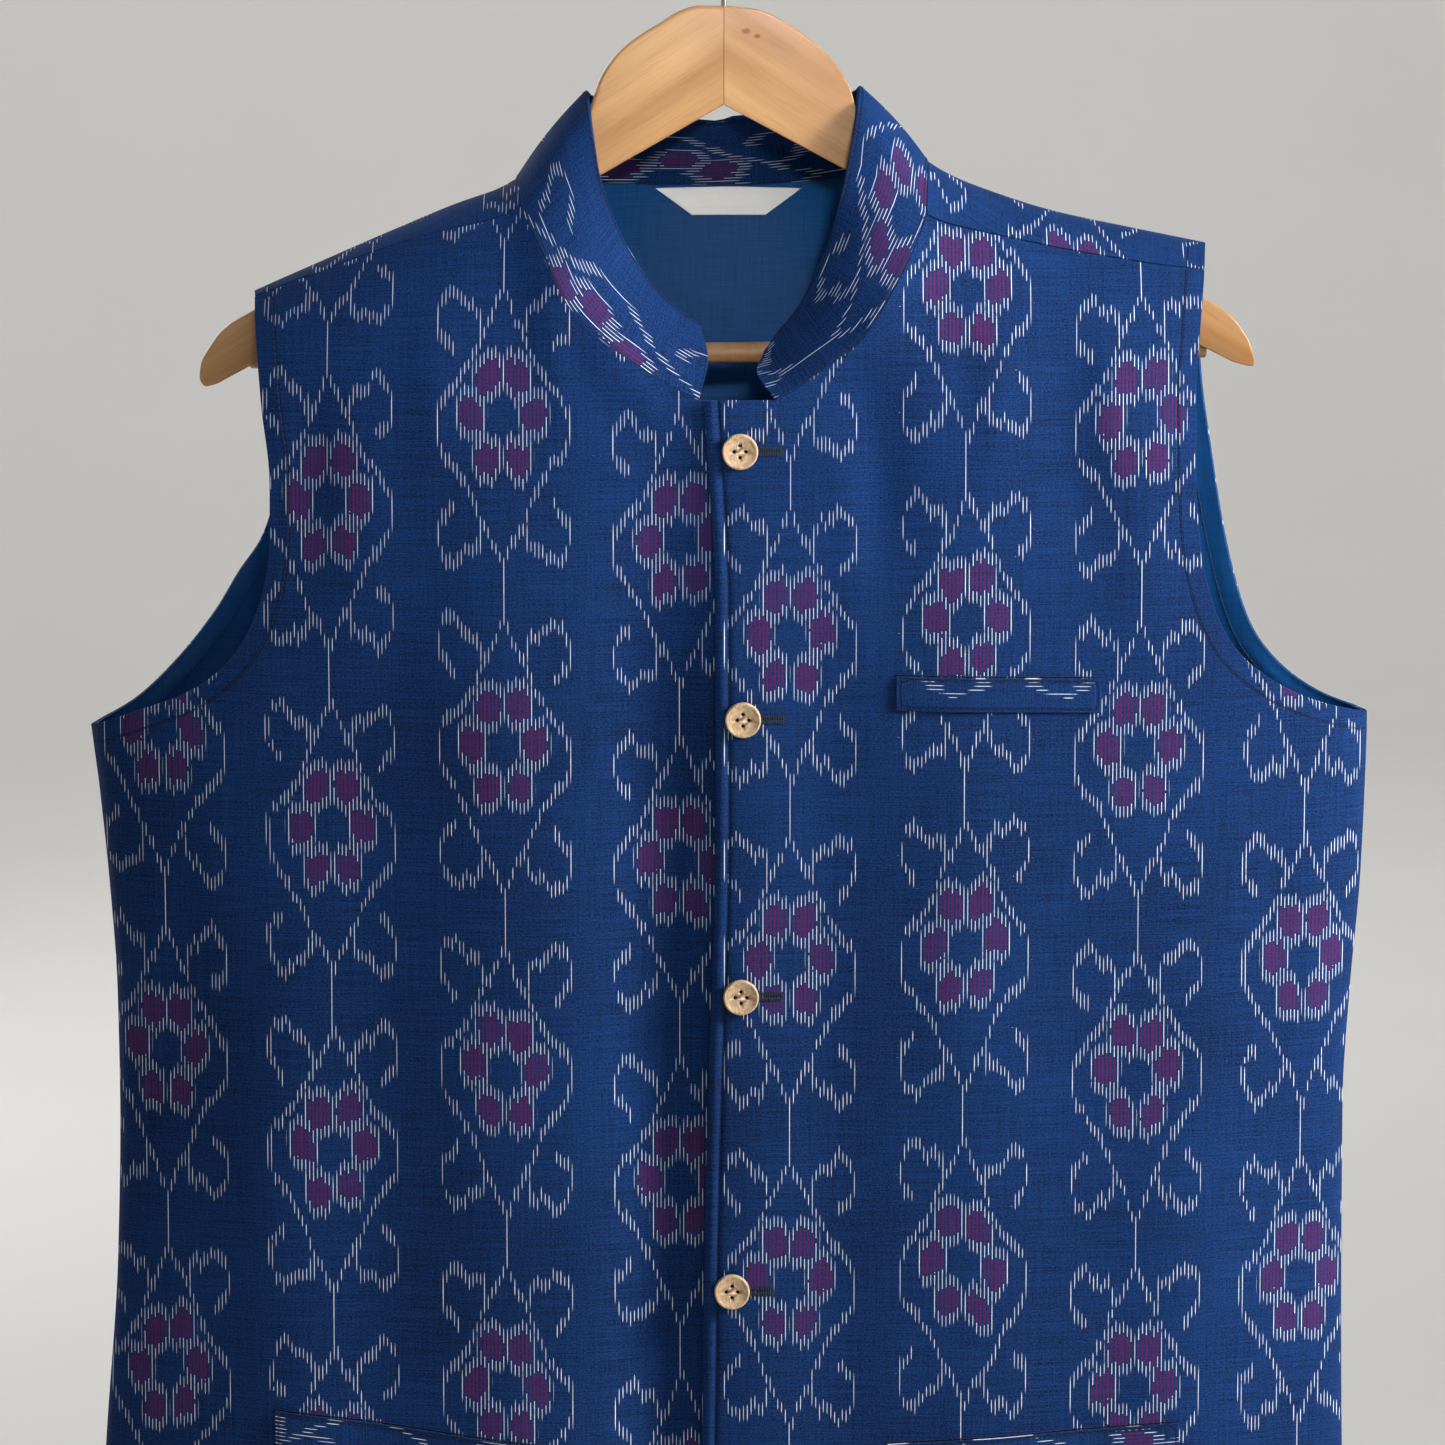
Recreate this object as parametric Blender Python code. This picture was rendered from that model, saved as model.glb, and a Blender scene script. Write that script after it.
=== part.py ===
"""A sleeveless nehru jacket, buttoned up, on a wooden hanger.

Metres. The origin is inside the top of the hook, where a rail would touch it. +Z is up, the
jacket's front faces -Y and +X is the wearer's left. The cloth is one hollow body: a rounded
section for every height, closed over the shoulders by a roll, and each panel is cut out of it.
"""

import math

import bpy
import numpy as np

GAP = 0.0003  # between pieces that touch
SAME_POINT = 0.00001  # grids of one piece join where their points lie this close
SEAM_SHARE = 0.4  # of GAP, that each piece leaves at the shoulder seam
SIDE_CLEAR = 0.0002  # each panel's share of the gap at the side seams
CLEAR_FADE = 0.004  # below the ridge, where that share begins
RIGHT, LEFT = -1, 1  # the wearer's sides, as the sign of X

# Thickness of the walls
FRONT_WALL = 0.0020  # a front, its interfacing and lining
BACK_WALL = 0.0012
LINING_WALL = 0.0010
COLLAR_WALL = 0.0025
COLLAR_TOP_WALL = 0.0022
WELT_WALL = 0.0012
LABEL_WALL = 0.0008

HEM = -0.868  # height of the hem

# How the panels are divided
SIDE_ROWS = 15  # hem to underarm
FRONT_ARM_ROWS = 10
BACK_ARM_ROWS = 12
YOKE_ROWS = 3  # ridge to shoulder seam, on the back piece
EDGE_COLUMNS = 2  # the flat top beside the closing
NECK_COLUMNS = 7
SHOULDER_COLUMNS = 7
HEM_TURN = 0.52  # share of the half width where the hem's columns begin to close up
COLLAR_ROWS = 3


def table(names, rows):
    """The columns of a short table, by name."""
    return dict(zip(names.split(), np.array(rows, float).T))


# Half width of the body, on the wearer's left and right
WIDTH = table("height left right", [
    (-0.868, 0.2745, 0.2790),
    (-0.700, 0.2701, 0.2700),
    (-0.615, 0.2690, 0.2638),
    (-0.547, 0.2688, 0.2622),
    (-0.498, 0.2713, 0.2628),
    (-0.450, 0.2752, 0.2658),
    (-0.410, 0.2768, 0.2696),
    (-0.378, 0.2775, 0.2728),
    (-0.340, 0.2720, 0.2680),
    (-0.250, 0.2570, 0.2500),
    (-0.140, 0.2420, 0.2340),
])

# How far the front and the back stand from the hanger's plane, at the middle
DEPTH = table("height front back", [
    (-0.868, 0.042, 0.038),
    (-0.600, 0.046, 0.039),
    (-0.400, 0.053, 0.042),
    (-0.240, 0.057, 0.046),
    (-0.140, 0.053, 0.048),
])

# Top line of the shoulders. Beside the neck, NECK_SOFT lifts it by half its own value.
SHOULDER = table("reach left right", [
    (0.080, -0.1430, -0.1500),
    (0.088, -0.1456, -0.1526),
    (0.110, -0.1528, -0.1580),
    (0.140, -0.1618, -0.1696),
    (0.170, -0.1681, -0.1824),
    (0.200, -0.1741, -0.1955),
    (0.212, -0.1765, -0.2010),
])
NECK_REACH = {LEFT: 0.0874, RIGHT: 0.0892}  # from the middle to the collar, on the ridge
NECK_SOFT = 0.010
NECK_BACK = -0.1528  # height of the back neck seam at the middle
ROLL_NECK, ROLL_TIP = 0.110, 0.056  # how far below the ridge the cloth still rounds over
TIP_REACH = 0.206

# Drop of the shoulder seam below the ridge, on the front
SEAM_DROP = table("reach left right", [
    (0.085, 0.0225, 0.0125),
    (0.105, 0.0180, 0.0105),
    (0.140, 0.0140, 0.0060),
    (0.180, 0.0125, 0.0032),
    (0.205, 0.0105, 0.0020),
])

# Front neckline, from its front end to the shoulder seam
NECKLINE = {
    LEFT: table("reach height", [
        (0.0215, -0.2382),
        (0.0291, -0.2340),
        (0.0401, -0.2264),
        (0.0573, -0.2133),
        (0.0685, -0.1969),
        (0.0795, -0.1760),
        (0.0856, -0.1625),
    ]),
    RIGHT: table("reach height", [
        (0.0105, -0.2385),
        (0.0244, -0.2319),
        (0.0383, -0.2225),
        (0.0513, -0.2135),
        (0.0655, -0.1995),
        (0.0775, -0.1765),
        (0.0862, -0.1598),
    ]),
}

# Front edge of the armhole, from the underarm up
ARM_FRONT = {
    LEFT: table("reach height", [
        (0.2773, -0.3765),
        (0.2535, -0.3696),
        (0.2338, -0.3597),
        (0.2174, -0.3450),
        (0.2083, -0.3270),
        (0.2025, -0.3021),
        (0.2005, -0.2696),
        (0.2003, -0.2368),
        (0.2021, -0.2100),
        (0.2045, -0.1858),
    ]),
    RIGHT: table("reach height", [
        (0.2730, -0.3825),
        (0.2492, -0.3734),
        (0.2308, -0.3661),
        (0.2131, -0.3536),
        (0.2023, -0.3382),
        (0.1955, -0.3193),
        (0.1930, -0.3009),
        (0.1928, -0.2748),
        (0.1962, -0.2430),
        (0.2003, -0.1985),
    ]),
}

# Back edge of the armhole, from the underarm up to the ridge
ARM_BACK = {
    LEFT: table("reach height", [
        (0.2773, -0.3765),
        (0.2600, -0.3708),
        (0.2420, -0.3590),
        (0.2290, -0.3420),
        (0.2215, -0.3200),
        (0.2163, -0.2970),
        (0.2112, -0.2659),
        (0.2066, -0.2325),
        (0.2048, -0.2000),
        (0.2060, -0.1756),
    ]),
    RIGHT: table("reach height", [
        (0.2730, -0.3825),
        (0.2560, -0.3735),
        (0.2375, -0.3565),
        (0.2204, -0.3351),
        (0.2110, -0.3195),
        (0.2000, -0.3028),
        (0.1950, -0.2850),
        (0.1935, -0.2600),
        (0.1965, -0.2250),
        (0.2010, -0.1962),
    ]),
}
TIP_SHARES = (0.06, 0.25, 0.55)  # rows of the back close under the ridge, as shares of TIP_BAND
TIP_BAND = 0.050
BACK_WAIST = -0.405  # where the underarm's row meets the middle of the back

# Closing edge of the upper front, and how far under it the lower front goes
CLOSING = table("height x", [
    (-0.868, -0.0120),
    (-0.689, -0.0094),
    (-0.573, -0.0077),
    (-0.409, -0.0036),
    (-0.323, -0.0038),
    (-0.272, -0.0063),
    (-0.238, -0.0085),
])
UNDERLAP = 0.030
# How far the lower front falls back beside the closing edge
FALL_BACK = table("height depth", [
    (-0.868, 0.0080),
    (-0.600, 0.0075),
    (-0.400, 0.0050),
    (-0.300, 0.0032),
    (-0.235, 0.0026),
])
FALL_FROM, FALL_TO = 0.070, 0.014  # reach where the lower front starts to fall back, and is down

# Top edge of the collar, from its front end round to the shoulder ridge
COLLAR_FRONT = {
    LEFT: table("share reach y height", [
        (0.00, 0.0166, -0.0290, -0.2198),
        (0.10, 0.0217, -0.0285, -0.2121),
        (0.20, 0.0306, -0.0280, -0.2011),
        (0.35, 0.0382, -0.0275, -0.1871),
        (0.50, 0.0446, -0.0265, -0.1722),
        (0.60, 0.0488, -0.0250, -0.1560),
        (0.70, 0.0520, -0.0215, -0.1425),
        (0.80, 0.0545, -0.0165, -0.1300),
        (0.90, 0.0567, -0.0110, -0.1185),
        (1.00, 0.0580, 0.0000, -0.1080),
    ]),
    RIGHT: table("share reach y height", [
        (0.00, 0.0095, -0.0310, -0.2080),
        (0.10, 0.0170, -0.0305, -0.2030),
        (0.20, 0.0265, -0.0300, -0.1950),
        (0.35, 0.0370, -0.0290, -0.1810),
        (0.50, 0.0455, -0.0280, -0.1650),
        (0.60, 0.0500, -0.0260, -0.1530),
        (0.70, 0.0530, -0.0220, -0.1430),
        (0.80, 0.0552, -0.0165, -0.1310),
        (0.90, 0.0572, -0.0110, -0.1200),
        (1.00, 0.0588, 0.0000, -0.1100),
    ]),
}
# The same from the ridge to the middle of the back, for both sides
COLLAR_BACK = table("share reach y height", [
    (0.00, 1.000, 0.0000, 0.0000),
    (0.08, 0.990, 0.0070, -0.0012),
    (0.20, 0.930, 0.0120, -0.0035),
    (0.40, 0.740, 0.0165, -0.0070),
    (0.70, 0.400, 0.0190, -0.0118),
    (1.00, 0.000, 0.0200, -0.0140),
])
COLLAR_BULGE = 0.0015
COLLAR_END = {LEFT: 0.0045, RIGHT: 0.0030}  # how far the rounded front end leans to the middle

# Soft folds of the cloth: a line from one point to another, how wide and how high it stands
FOLDS = table("front x_top z_top x_low z_low width rise", [
    (1, 0.062, -0.215, 0.070, -0.330, 0.012, -0.0030),
    (1, 0.086, -0.190, 0.090, -0.300, 0.011, 0.0022),
    (1, 0.142, -0.190, 0.150, -0.330, 0.016, -0.0028),
    (1, 0.178, -0.230, 0.180, -0.400, 0.014, 0.0020),
    (1, -0.060, -0.212, -0.012, -0.262, 0.009, 0.0024),
    (1, -0.092, -0.190, -0.100, -0.340, 0.014, -0.0024),
    (1, -0.150, -0.210, -0.158, -0.400, 0.016, 0.0020),
    (1, 0.150, -0.430, 0.120, -0.868, 0.030, -0.0030),
    (1, 0.205, -0.420, 0.190, -0.868, 0.026, 0.0030),
    (1, -0.120, -0.420, -0.105, -0.868, 0.028, -0.0030),
    (1, -0.195, -0.420, -0.180, -0.868, 0.026, 0.0030),
    (0, -0.070, -0.200, -0.085, -0.560, 0.026, -0.0030),
    (0, 0.075, -0.200, 0.095, -0.600, 0.024, -0.0028),
    (0, 0.010, -0.330, 0.000, -0.868, 0.030, 0.0034),
    (0, -0.165, -0.340, -0.150, -0.868, 0.028, 0.0036),
    (0, 0.170, -0.330, 0.160, -0.868, 0.028, 0.0034),
])

FOLD_BEGINS, FOLD_ENDS = 0.35, 0.50  # shares of a fold's length over which it comes and goes
SIDE_FADE = 0.12  # share of the half width over which folds die out at the side seams
RIDGE_FADE = 0.030  # and how far below the ridge they have died out

# Welts: the mouth's two ends and the welt's height below it
WELTS = {
    "chest_welt": dict(side=LEFT, start=(0.0726, -0.3553), end=(0.1597, -0.3574), tall=0.0148),
    "pocket_welt_left": dict(side=LEFT, start=(0.0699, -0.6896), end=(0.1957, -0.6821), tall=0.020),
    "pocket_welt_right": dict(side=RIGHT, start=(0.0663, -0.6918), end=(0.1930, -0.6768), tall=0.020),
}
WELT_LIFT = 0.0005
WELT_ROWS = 2
LEAST_COLUMN = 0.002  # a piece laid on a panel has no narrower column

# Label, on the lining under the back collar
LABEL_TOP_HALF = 0.031
LABEL_LOW_HALF = 0.0165
LABEL_MIDDLE = 0.002
LABEL_TOP = -0.1565
LABEL_TALL = 0.0105
LABEL_LIFT = 0.0007

# Buttons, along the middle of the closing
BUTTONS = table("x height", [
    (0.0068, -0.2598),
    (0.0081, -0.3740),
    (0.0073, -0.4936),
    (0.0035, -0.6223),
    (0.0020, -0.7470),
])
BUTTON_RADIUS = 0.0076
BUTTON_THICK = 0.0030
BUTTON_RIM = 0.0008
HOLE_RADIUS = 0.00085
HOLE_RING = 0.0025
BUTTON_SIDES = 20
HOLE_SIDES = 8

# Hanger, in the plane Y = 0
WOOD_HALF = 0.006
WOOD_ROUND = 0.0025
CROWN = {
    LEFT: [
        (0.0000, -0.0744), (0.0136, -0.0759), (0.0251, -0.0807), (0.0379, -0.0896),
        (0.0477, -0.0993), (0.0535, -0.1085), (0.0564, -0.1180), (0.0650, -0.1330),
        (0.0780, -0.1430), (0.0950, -0.1494),
    ],
    RIGHT: [
        (0.0000, -0.0744), (0.0110, -0.0744), (0.0191, -0.0767), (0.0272, -0.0815),
        (0.0399, -0.0896), (0.0467, -0.0959), (0.0531, -0.1057), (0.0562, -0.1150),
        (0.0640, -0.1340), (0.0780, -0.1475), (0.0950, -0.1549),
    ],
}
ARM_NOSE = {
    LEFT: [
        (0.2041, -0.1980), (0.2149, -0.2044), (0.2209, -0.2112), (0.2251, -0.2183),
        (0.2270, -0.2262), (0.2262, -0.2277), (0.2189, -0.2262), (0.2125, -0.2232),
    ],
    RIGHT: [
        (0.2024, -0.2044), (0.2140, -0.2117), (0.2205, -0.2202), (0.2238, -0.2266),
        (0.2244, -0.2326), (0.2219, -0.2365), (0.2175, -0.2355), (0.2129, -0.2332),
    ],
}
ARM_UNDER = {LEFT: (0.0503, -0.1430), RIGHT: (0.0515, -0.1456)}
NOTCH = -0.1163  # height of the notch under the middle
BAR_RADIUS = 0.0045
BAR_ENDS = {LEFT: (0.2065, -0.2199), RIGHT: (0.2030, -0.2246)}
BAR_SIDES = 14
SEAT_LENGTH = 0.08  # how far along the bar the arms are cut for it

# Hook: a wire, bent round the rail
WIRE_RADIUS = 0.0013
HOOK_INNER = 0.0200
STEM = [
    (0.0, -0.0880), (0.0, -0.0740), (0.0, -0.0660), (0.0, -0.0580), (0.0028, -0.0500),
    (0.0090, -0.0428),
]
STEM_SIDES = 10
BEND_STEPS = 18
HOOK_START = math.radians(-38)
HOOK_OPEN = math.radians(205)  # where the bend ends, from the +X side over the top

CLOTH = ("indigo ikat cotton", (0.020, 0.050, 0.150), 0.85, 0.0)
LINING = ("blue lining", (0.010, 0.070, 0.240), 0.70, 0.0)
TAG = ("bare label cloth", (0.80, 0.79, 0.75), 0.75, 0.0)
SHELL = ("coconut shell", (0.420, 0.230, 0.090), 0.50, 0.0)
WOOD = ("varnished wood", (0.560, 0.330, 0.150), 0.35, 0.0)
STEEL = ("chromed wire", (0.750, 0.750, 0.760), 0.18, 1.0)


def along(xs, ys, at):
    """A smooth line through a table's points, which never overshoots them."""
    order = np.argsort(xs)
    xs, ys = np.asarray(xs)[order], np.asarray(ys)[order]
    rise = np.diff(ys) / np.diff(xs)
    slope = np.concatenate([rise[:1], np.zeros(len(xs) - 2), rise[-1:]])
    both = rise[:-1] * rise[1:]
    total = rise[:-1] + rise[1:]
    bends = both > 0
    slope[1:-1][bends] = 2 * both[bends] / total[bends]
    at = np.clip(at, xs[0], xs[-1])
    k = np.clip(np.searchsorted(xs, at) - 1, 0, len(xs) - 2)
    step = xs[k + 1] - xs[k]
    t = (at - xs[k]) / step
    return (
        ys[k] * (1 + 2 * t) * (1 - t) ** 2
        + ys[k + 1] * t**2 * (3 - 2 * t)
        + step * t * (1 - t) * (slope[k] * (1 - t) - slope[k + 1] * t)
    )


def ease(t):
    """0 to 1 with level ends."""
    t = np.clip(t, 0, 1)
    return t * t * (3 - 2 * t)


def name_of(side):
    return "left" if side == LEFT else "right"


def half_width(side, z):
    return along(WIDTH["height"], WIDTH[name_of(side)], z)


def depth(front, z):
    return along(DEPTH["height"], DEPTH["front" if front else "back"], z)


def roll(reach):
    """How far below the ridge the cloth still rounds over."""
    share = (np.abs(reach) - NECK_REACH[LEFT]) / (TIP_REACH - NECK_REACH[LEFT])
    return ROLL_NECK + (ROLL_TIP - ROLL_NECK) * np.clip(share, 0, 1)


def ridge(side, reach):
    """Height of the body's top line: the shoulder, and a cone that the neck is cut from."""
    line = SHOULDER[name_of(side)]
    shoulder = along(SHOULDER["reach"], line, reach)
    foot = along(SHOULDER["reach"], line, NECK_REACH[side])
    cone = foot + ROLL_NECK * (1 - reach / NECK_REACH[side])
    return (shoulder + cone + np.sqrt((shoulder - cone) ** 2 + NECK_SOFT**2)) / 2


def rounding(side, reach, z):
    """Square of how much of the full depth the cloth has at this height: 0 on the ridge."""
    left = np.clip(1 - (ridge(side, reach) - z) / roll(reach), 0, 1)
    return 1 - left**2


def level(side, front, reach, y, z):
    """Zero on the body, and more outside it."""
    flat = 1 - (reach / half_width(side, z)) ** 2
    return (y / depth(front, z)) ** 2 - rounding(side, reach, z) * flat


def body(side, front, reach, z):
    """Points of the body, and the way out of it there."""
    flat = np.clip(1 - (reach / half_width(side, z)) ** 2, 0, 1)
    y = depth(front, z) * np.sqrt(rounding(side, reach, z) * flat) * (-1 if front else 1)
    clear = SIDE_CLEAR * ease((ridge(side, reach) - z) / CLEAR_FADE) * (-1 if front else 1)
    step = SAME_POINT
    slopes = [
        level(side, front, reach + step, y, z) - level(side, front, reach - step, y, z),
        level(side, front, reach, y + step, z) - level(side, front, reach, y - step, z),
        level(side, front, reach, y, z + step) - level(side, front, reach, y, z - step),
    ]
    out = np.stack([slopes[0] * side, slopes[1], slopes[2]], -1)
    out /= np.linalg.norm(out, axis=-1, keepdims=True)
    return np.stack([reach * side, y + clear, z], -1), out


def relief(side, front, reach, z):
    """Height of the soft folds, which die out at the sides and over the shoulders."""
    x = reach * side
    height = np.zeros(np.shape(x))
    for k, of_front in enumerate(FOLDS["front"]):
        if bool(of_front) != front:
            continue
        top = np.array([FOLDS["x_top"][k], FOLDS["z_top"][k]])
        low = np.array([FOLDS["x_low"][k], FOLDS["z_low"][k]])
        run = low - top
        share = ((x - top[0]) * run[0] + (z - top[1]) * run[1]) / (run @ run)
        beside = ((x - top[0]) * run[1] - (z - top[1]) * run[0]) / np.linalg.norm(run)
        ends = ease(share / FOLD_BEGINS)
        if low[1] > HEM:
            ends *= ease((1 - share) / FOLD_ENDS)
        height += FOLDS["rise"][k] * ends * np.exp(-((beside / FOLDS["width"][k]) ** 2))
    near_side = ease((1 - np.abs(reach) / half_width(side, z)) / SIDE_FADE)
    near_ridge = ease((ridge(side, np.abs(reach)) - z) / RIDGE_FADE)
    return height * near_side * near_ridge


def skin(side, front, reach, z, lift=0.0):
    """Points of the cloth's outer face, moved out by lift, and the way out."""
    reach, z = np.asarray(reach, float), np.asarray(z, float)
    points, out = body(side, front, reach, z)
    rise = relief(side, front, reach, z) + lift
    return points + out * np.asarray(rise)[..., None], out


def fall_back(side, reach, z):
    """How far the lower front lies inside the body beside the closing."""
    if side == LEFT:
        return np.zeros(np.shape(reach))
    down = along(FALL_BACK["height"], FALL_BACK["depth"], z)
    return down * ease((FALL_FROM - reach) / (FALL_FROM - FALL_TO))


def front_skin(side, reach, z, lift=0.0):
    return skin(side, True, reach, z, lift - fall_back(side, reach, z))


def spaced(rows, shares):
    """Points at these shares of the way along a table's line of reach and height."""
    x, z = rows["reach"], rows["height"]
    run = np.concatenate([[0], np.cumsum(np.hypot(np.diff(x), np.diff(z)))])
    at = run[-1] * np.asarray(shares)
    return np.stack([along(run, x, at), along(run, z, at)], -1)


def side_line(side, top):
    """The side seam from the hem to the underarm."""
    z = np.linspace(HEM, top, SIDE_ROWS + 1)
    return np.stack([half_width(side, z), z], -1)


def share_of(line, axis):
    return (line[:, axis] - line[0, axis]) / (line[-1, axis] - line[0, axis])


def fill(bottom, right, top, left):
    """A grid of reach and height between four edges."""
    a = ((share_of(bottom, 0) + share_of(top, 0)) / 2)[None, :, None]
    b = ((share_of(right, 1) + share_of(left, 1)) / 2)[:, None, None]
    across = (1 - a) * left[:, None] + a * right[:, None]
    upward = (1 - b) * bottom[None] + b * top[None]
    corners = (
        (1 - a) * (1 - b) * bottom[0]
        + a * (1 - b) * bottom[-1]
        + (1 - a) * b * top[0]
        + a * b * top[-1]
    )
    return across + upward - corners


def hem_line(side, start, inner_columns, outer_columns):
    """Columns at the hem: even ones at the middle, closer ones round the side."""
    wide = half_width(side, HEM)
    inner = np.linspace(start, HEM_TURN * wide, inner_columns + 1)[:-1]
    outer = wide * np.sin(np.linspace(math.asin(HEM_TURN), math.pi / 2, outer_columns + 1))
    reach = np.concatenate([inner, outer])
    return np.stack([reach, np.full(len(reach), HEM)], -1)


def seam_height(side, reach):
    """Height of the shoulder seam."""
    return ridge(side, reach) - along(SEAM_DROP["reach"], SEAM_DROP[name_of(side)], reach)


def shoulder_reaches(side):
    """Where the shoulder's columns stand, from the neck to the tip."""
    first, last = NECKLINE[side]["reach"][-1], ARM_FRONT[side]["reach"][-1]
    return np.linspace(first, last, SHOULDER_COLUMNS + 1)


def front_edge(side, z):
    """Reach of a front's closing edge, which is beyond the middle."""
    x = along(CLOSING["height"], CLOSING["x"], z)
    return x if side == LEFT else -(x + UNDERLAP)


def front_grid(side):
    neck = spaced(NECKLINE[side], np.linspace(0, 1, NECK_COLUMNS + 1))
    seam = shoulder_reaches(side)
    top_z = neck[0, 1]
    flat = np.linspace(front_edge(side, top_z), neck[0, 0], EDGE_COLUMNS + 1)[:-1]
    shoulder = np.stack([seam, seam_height(side, seam) - SEAM_SHARE * GAP], -1)
    top = np.concatenate([
        np.stack([flat, np.full(len(flat), top_z)], -1),
        neck[:-1],
        shoulder,
    ])
    arm = spaced(ARM_FRONT[side], np.linspace(0, 1, FRONT_ARM_ROWS + 1))
    arm[-1] = shoulder[-1]
    right = np.concatenate([side_line(side, arm[0, 1])[:-1], arm])
    bottom = hem_line(side, front_edge(side, HEM), EDGE_COLUMNS + NECK_COLUMNS, SHOULDER_COLUMNS)
    even = np.linspace(0, 1, len(right))
    heights = HEM + (top_z - HEM) * (0.5 * even + 0.5 * share_of(right, 1))
    left = np.stack([front_edge(side, heights), heights], -1)
    return fill(bottom, right, top, left)


def back_top(side):
    """Top of the back: the neck seam from the middle, then the shoulder's ridge."""
    a = np.linspace(0, math.pi / 2, NECK_COLUMNS + 1)
    reach = NECK_REACH[side] * np.sin(a)
    high = ridge(side, NECK_REACH[side])
    neck = np.stack([reach, NECK_BACK + (high - NECK_BACK) * np.sin(a) ** 2], -1)
    seam = np.linspace(NECK_REACH[side], ARM_BACK[side]["reach"][-1], SHOULDER_COLUMNS + 1)
    return np.concatenate([neck[:-1], np.stack([seam, ridge(side, seam)], -1)])


def back_grid(side):
    top = back_top(side)
    line = ARM_BACK[side]
    drop = np.array(TIP_SHARES) * TIP_BAND
    tall = np.hypot(np.diff(line["reach"]), np.diff(line["height"])).sum()
    even = np.linspace(0, 1 - TIP_BAND / tall, BACK_ARM_ROWS - len(drop))
    arm = spaced(line, np.concatenate([even, 1 - drop[::-1] / tall, [1]]))
    arm[-1] = top[-1]
    right = np.concatenate([side_line(side, arm[0, 1])[:-1], arm])
    bottom = hem_line(side, 0.0, NECK_COLUMNS, SHOULDER_COLUMNS)
    low = np.linspace(HEM, BACK_WAIST, SIDE_ROWS + 1)[:-1]
    middle = np.linspace(BACK_WAIST, NECK_BACK - TIP_BAND, len(even))
    heights = np.concatenate([low, middle, NECK_BACK - drop[::-1], [NECK_BACK]])
    left = np.stack([np.zeros(len(heights)), heights], -1)
    return fill(bottom, right, top, left)


def yoke_grid(side):
    """The back piece in front of the ridge: rows from the ridge to the shoulder seam."""
    high = back_top(side)[NECK_COLUMNS:]
    reach = shoulder_reaches(side)
    low = seam_height(side, reach) + SEAM_SHARE * GAP
    seam_drop = ridge(side, reach) - low
    rows = []
    for k in range(YOKE_ROWS + 1):
        share = k / YOKE_ROWS
        at = high[:, 0] + (reach - high[:, 0]) * share
        rows.append(np.stack([at, ridge(side, at) - seam_drop * share**2], -1))
    return np.array(rows)


def finish(name, colour, roughness, metallic):
    material = bpy.data.materials.get(name) or bpy.data.materials.new(name)
    material.use_nodes = True
    shader = material.node_tree.nodes["Principled BSDF"]
    shader.inputs["Base Color"].default_value = (*colour, 1)
    shader.inputs["Roughness"].default_value = roughness
    shader.inputs["Metallic"].default_value = metallic
    return material


def add_mesh(name, points, faces, look, sharp_angle=50):
    mesh = bpy.data.meshes.new(name)
    mesh.from_pydata([tuple(p) for p in points], [], faces)
    mesh.shade_smooth()
    mesh.set_sharp_from_angle(angle=math.radians(sharp_angle))
    mesh.materials.append(finish(*look))
    part = bpy.data.objects.new(name, mesh)
    bpy.context.scene.collection.objects.link(part)
    return part


def triangles(ids, outer, inner):
    """The grid's faces as triangles, turned so that they face from the inner points out."""
    faces = []
    for row in range(ids.shape[0] - 1):
        for column in range(ids.shape[1] - 1):
            a, b = ids[row, column], ids[row, column + 1]
            c, d = ids[row + 1, column + 1], ids[row + 1, column]
            faces += [(a, b, c), (a, c, d)]
    corner = np.array([[outer[k] for k in face] for face in faces])
    normal = np.cross(corner[:, 1] - corner[:, 0], corner[:, 2] - corner[:, 0])
    out = np.array([outer[face[0]] - inner[face[0]] for face in faces])
    if (normal * out).sum() < 0:
        faces = [face[::-1] for face in faces]
    return faces


def walled(name, patches, look):
    """One closed wall from grids of outer and inner points. Grids that share an edge join."""
    outer, inner, faces = [], [], []
    for out, within in patches:
        ids = np.zeros(out.shape[:2], int)
        earlier = np.array(outer).reshape(-1, 3)
        for spot in np.ndindex(*ids.shape):
            apart = np.linalg.norm(earlier - out[spot], axis=1) if len(earlier) else np.ones(1)
            if apart.min() < SAME_POINT:
                ids[spot] = apart.argmin()
                continue
            ids[spot] = len(outer)
            outer.append(out[spot])
            inner.append(within[spot])
        faces += triangles(ids, outer, inner)
    count = len(outer)
    uses = {(a, b) for face in faces for a, b in zip(face, face[1:] + face[:1])}
    rims = [(a, b) for a, b in uses if (b, a) not in uses]
    closed = list(faces)
    closed += [tuple(k + count for k in face[::-1]) for face in faces]
    for a, b in sorted(rims):
        closed += [(b, a, a + count), (b, a + count, b + count)]
    return add_mesh(name, outer + inner, closed, look)


def front_panel(side):
    grid = front_grid(side)
    outer, _ = front_skin(side, grid[..., 0], grid[..., 1])
    inner, _ = front_skin(side, grid[..., 0], grid[..., 1], -FRONT_WALL)
    return walled("front_" + name_of(side), [(outer, inner)], CLOTH)


def back_layer(name, outside, wall, look):
    """The back or its lining, whose outer face is this far inside the body."""
    patches = []
    for side in (RIGHT, LEFT):
        for front, grid in ((False, back_grid(side)), (True, yoke_grid(side))):
            outer, _ = skin(side, front, grid[..., 0], grid[..., 1], -outside)
            inner, _ = skin(side, front, grid[..., 0], grid[..., 1], -outside - wall)
            patches.append((outer, inner))
    return walled(name, patches, look)


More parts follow.
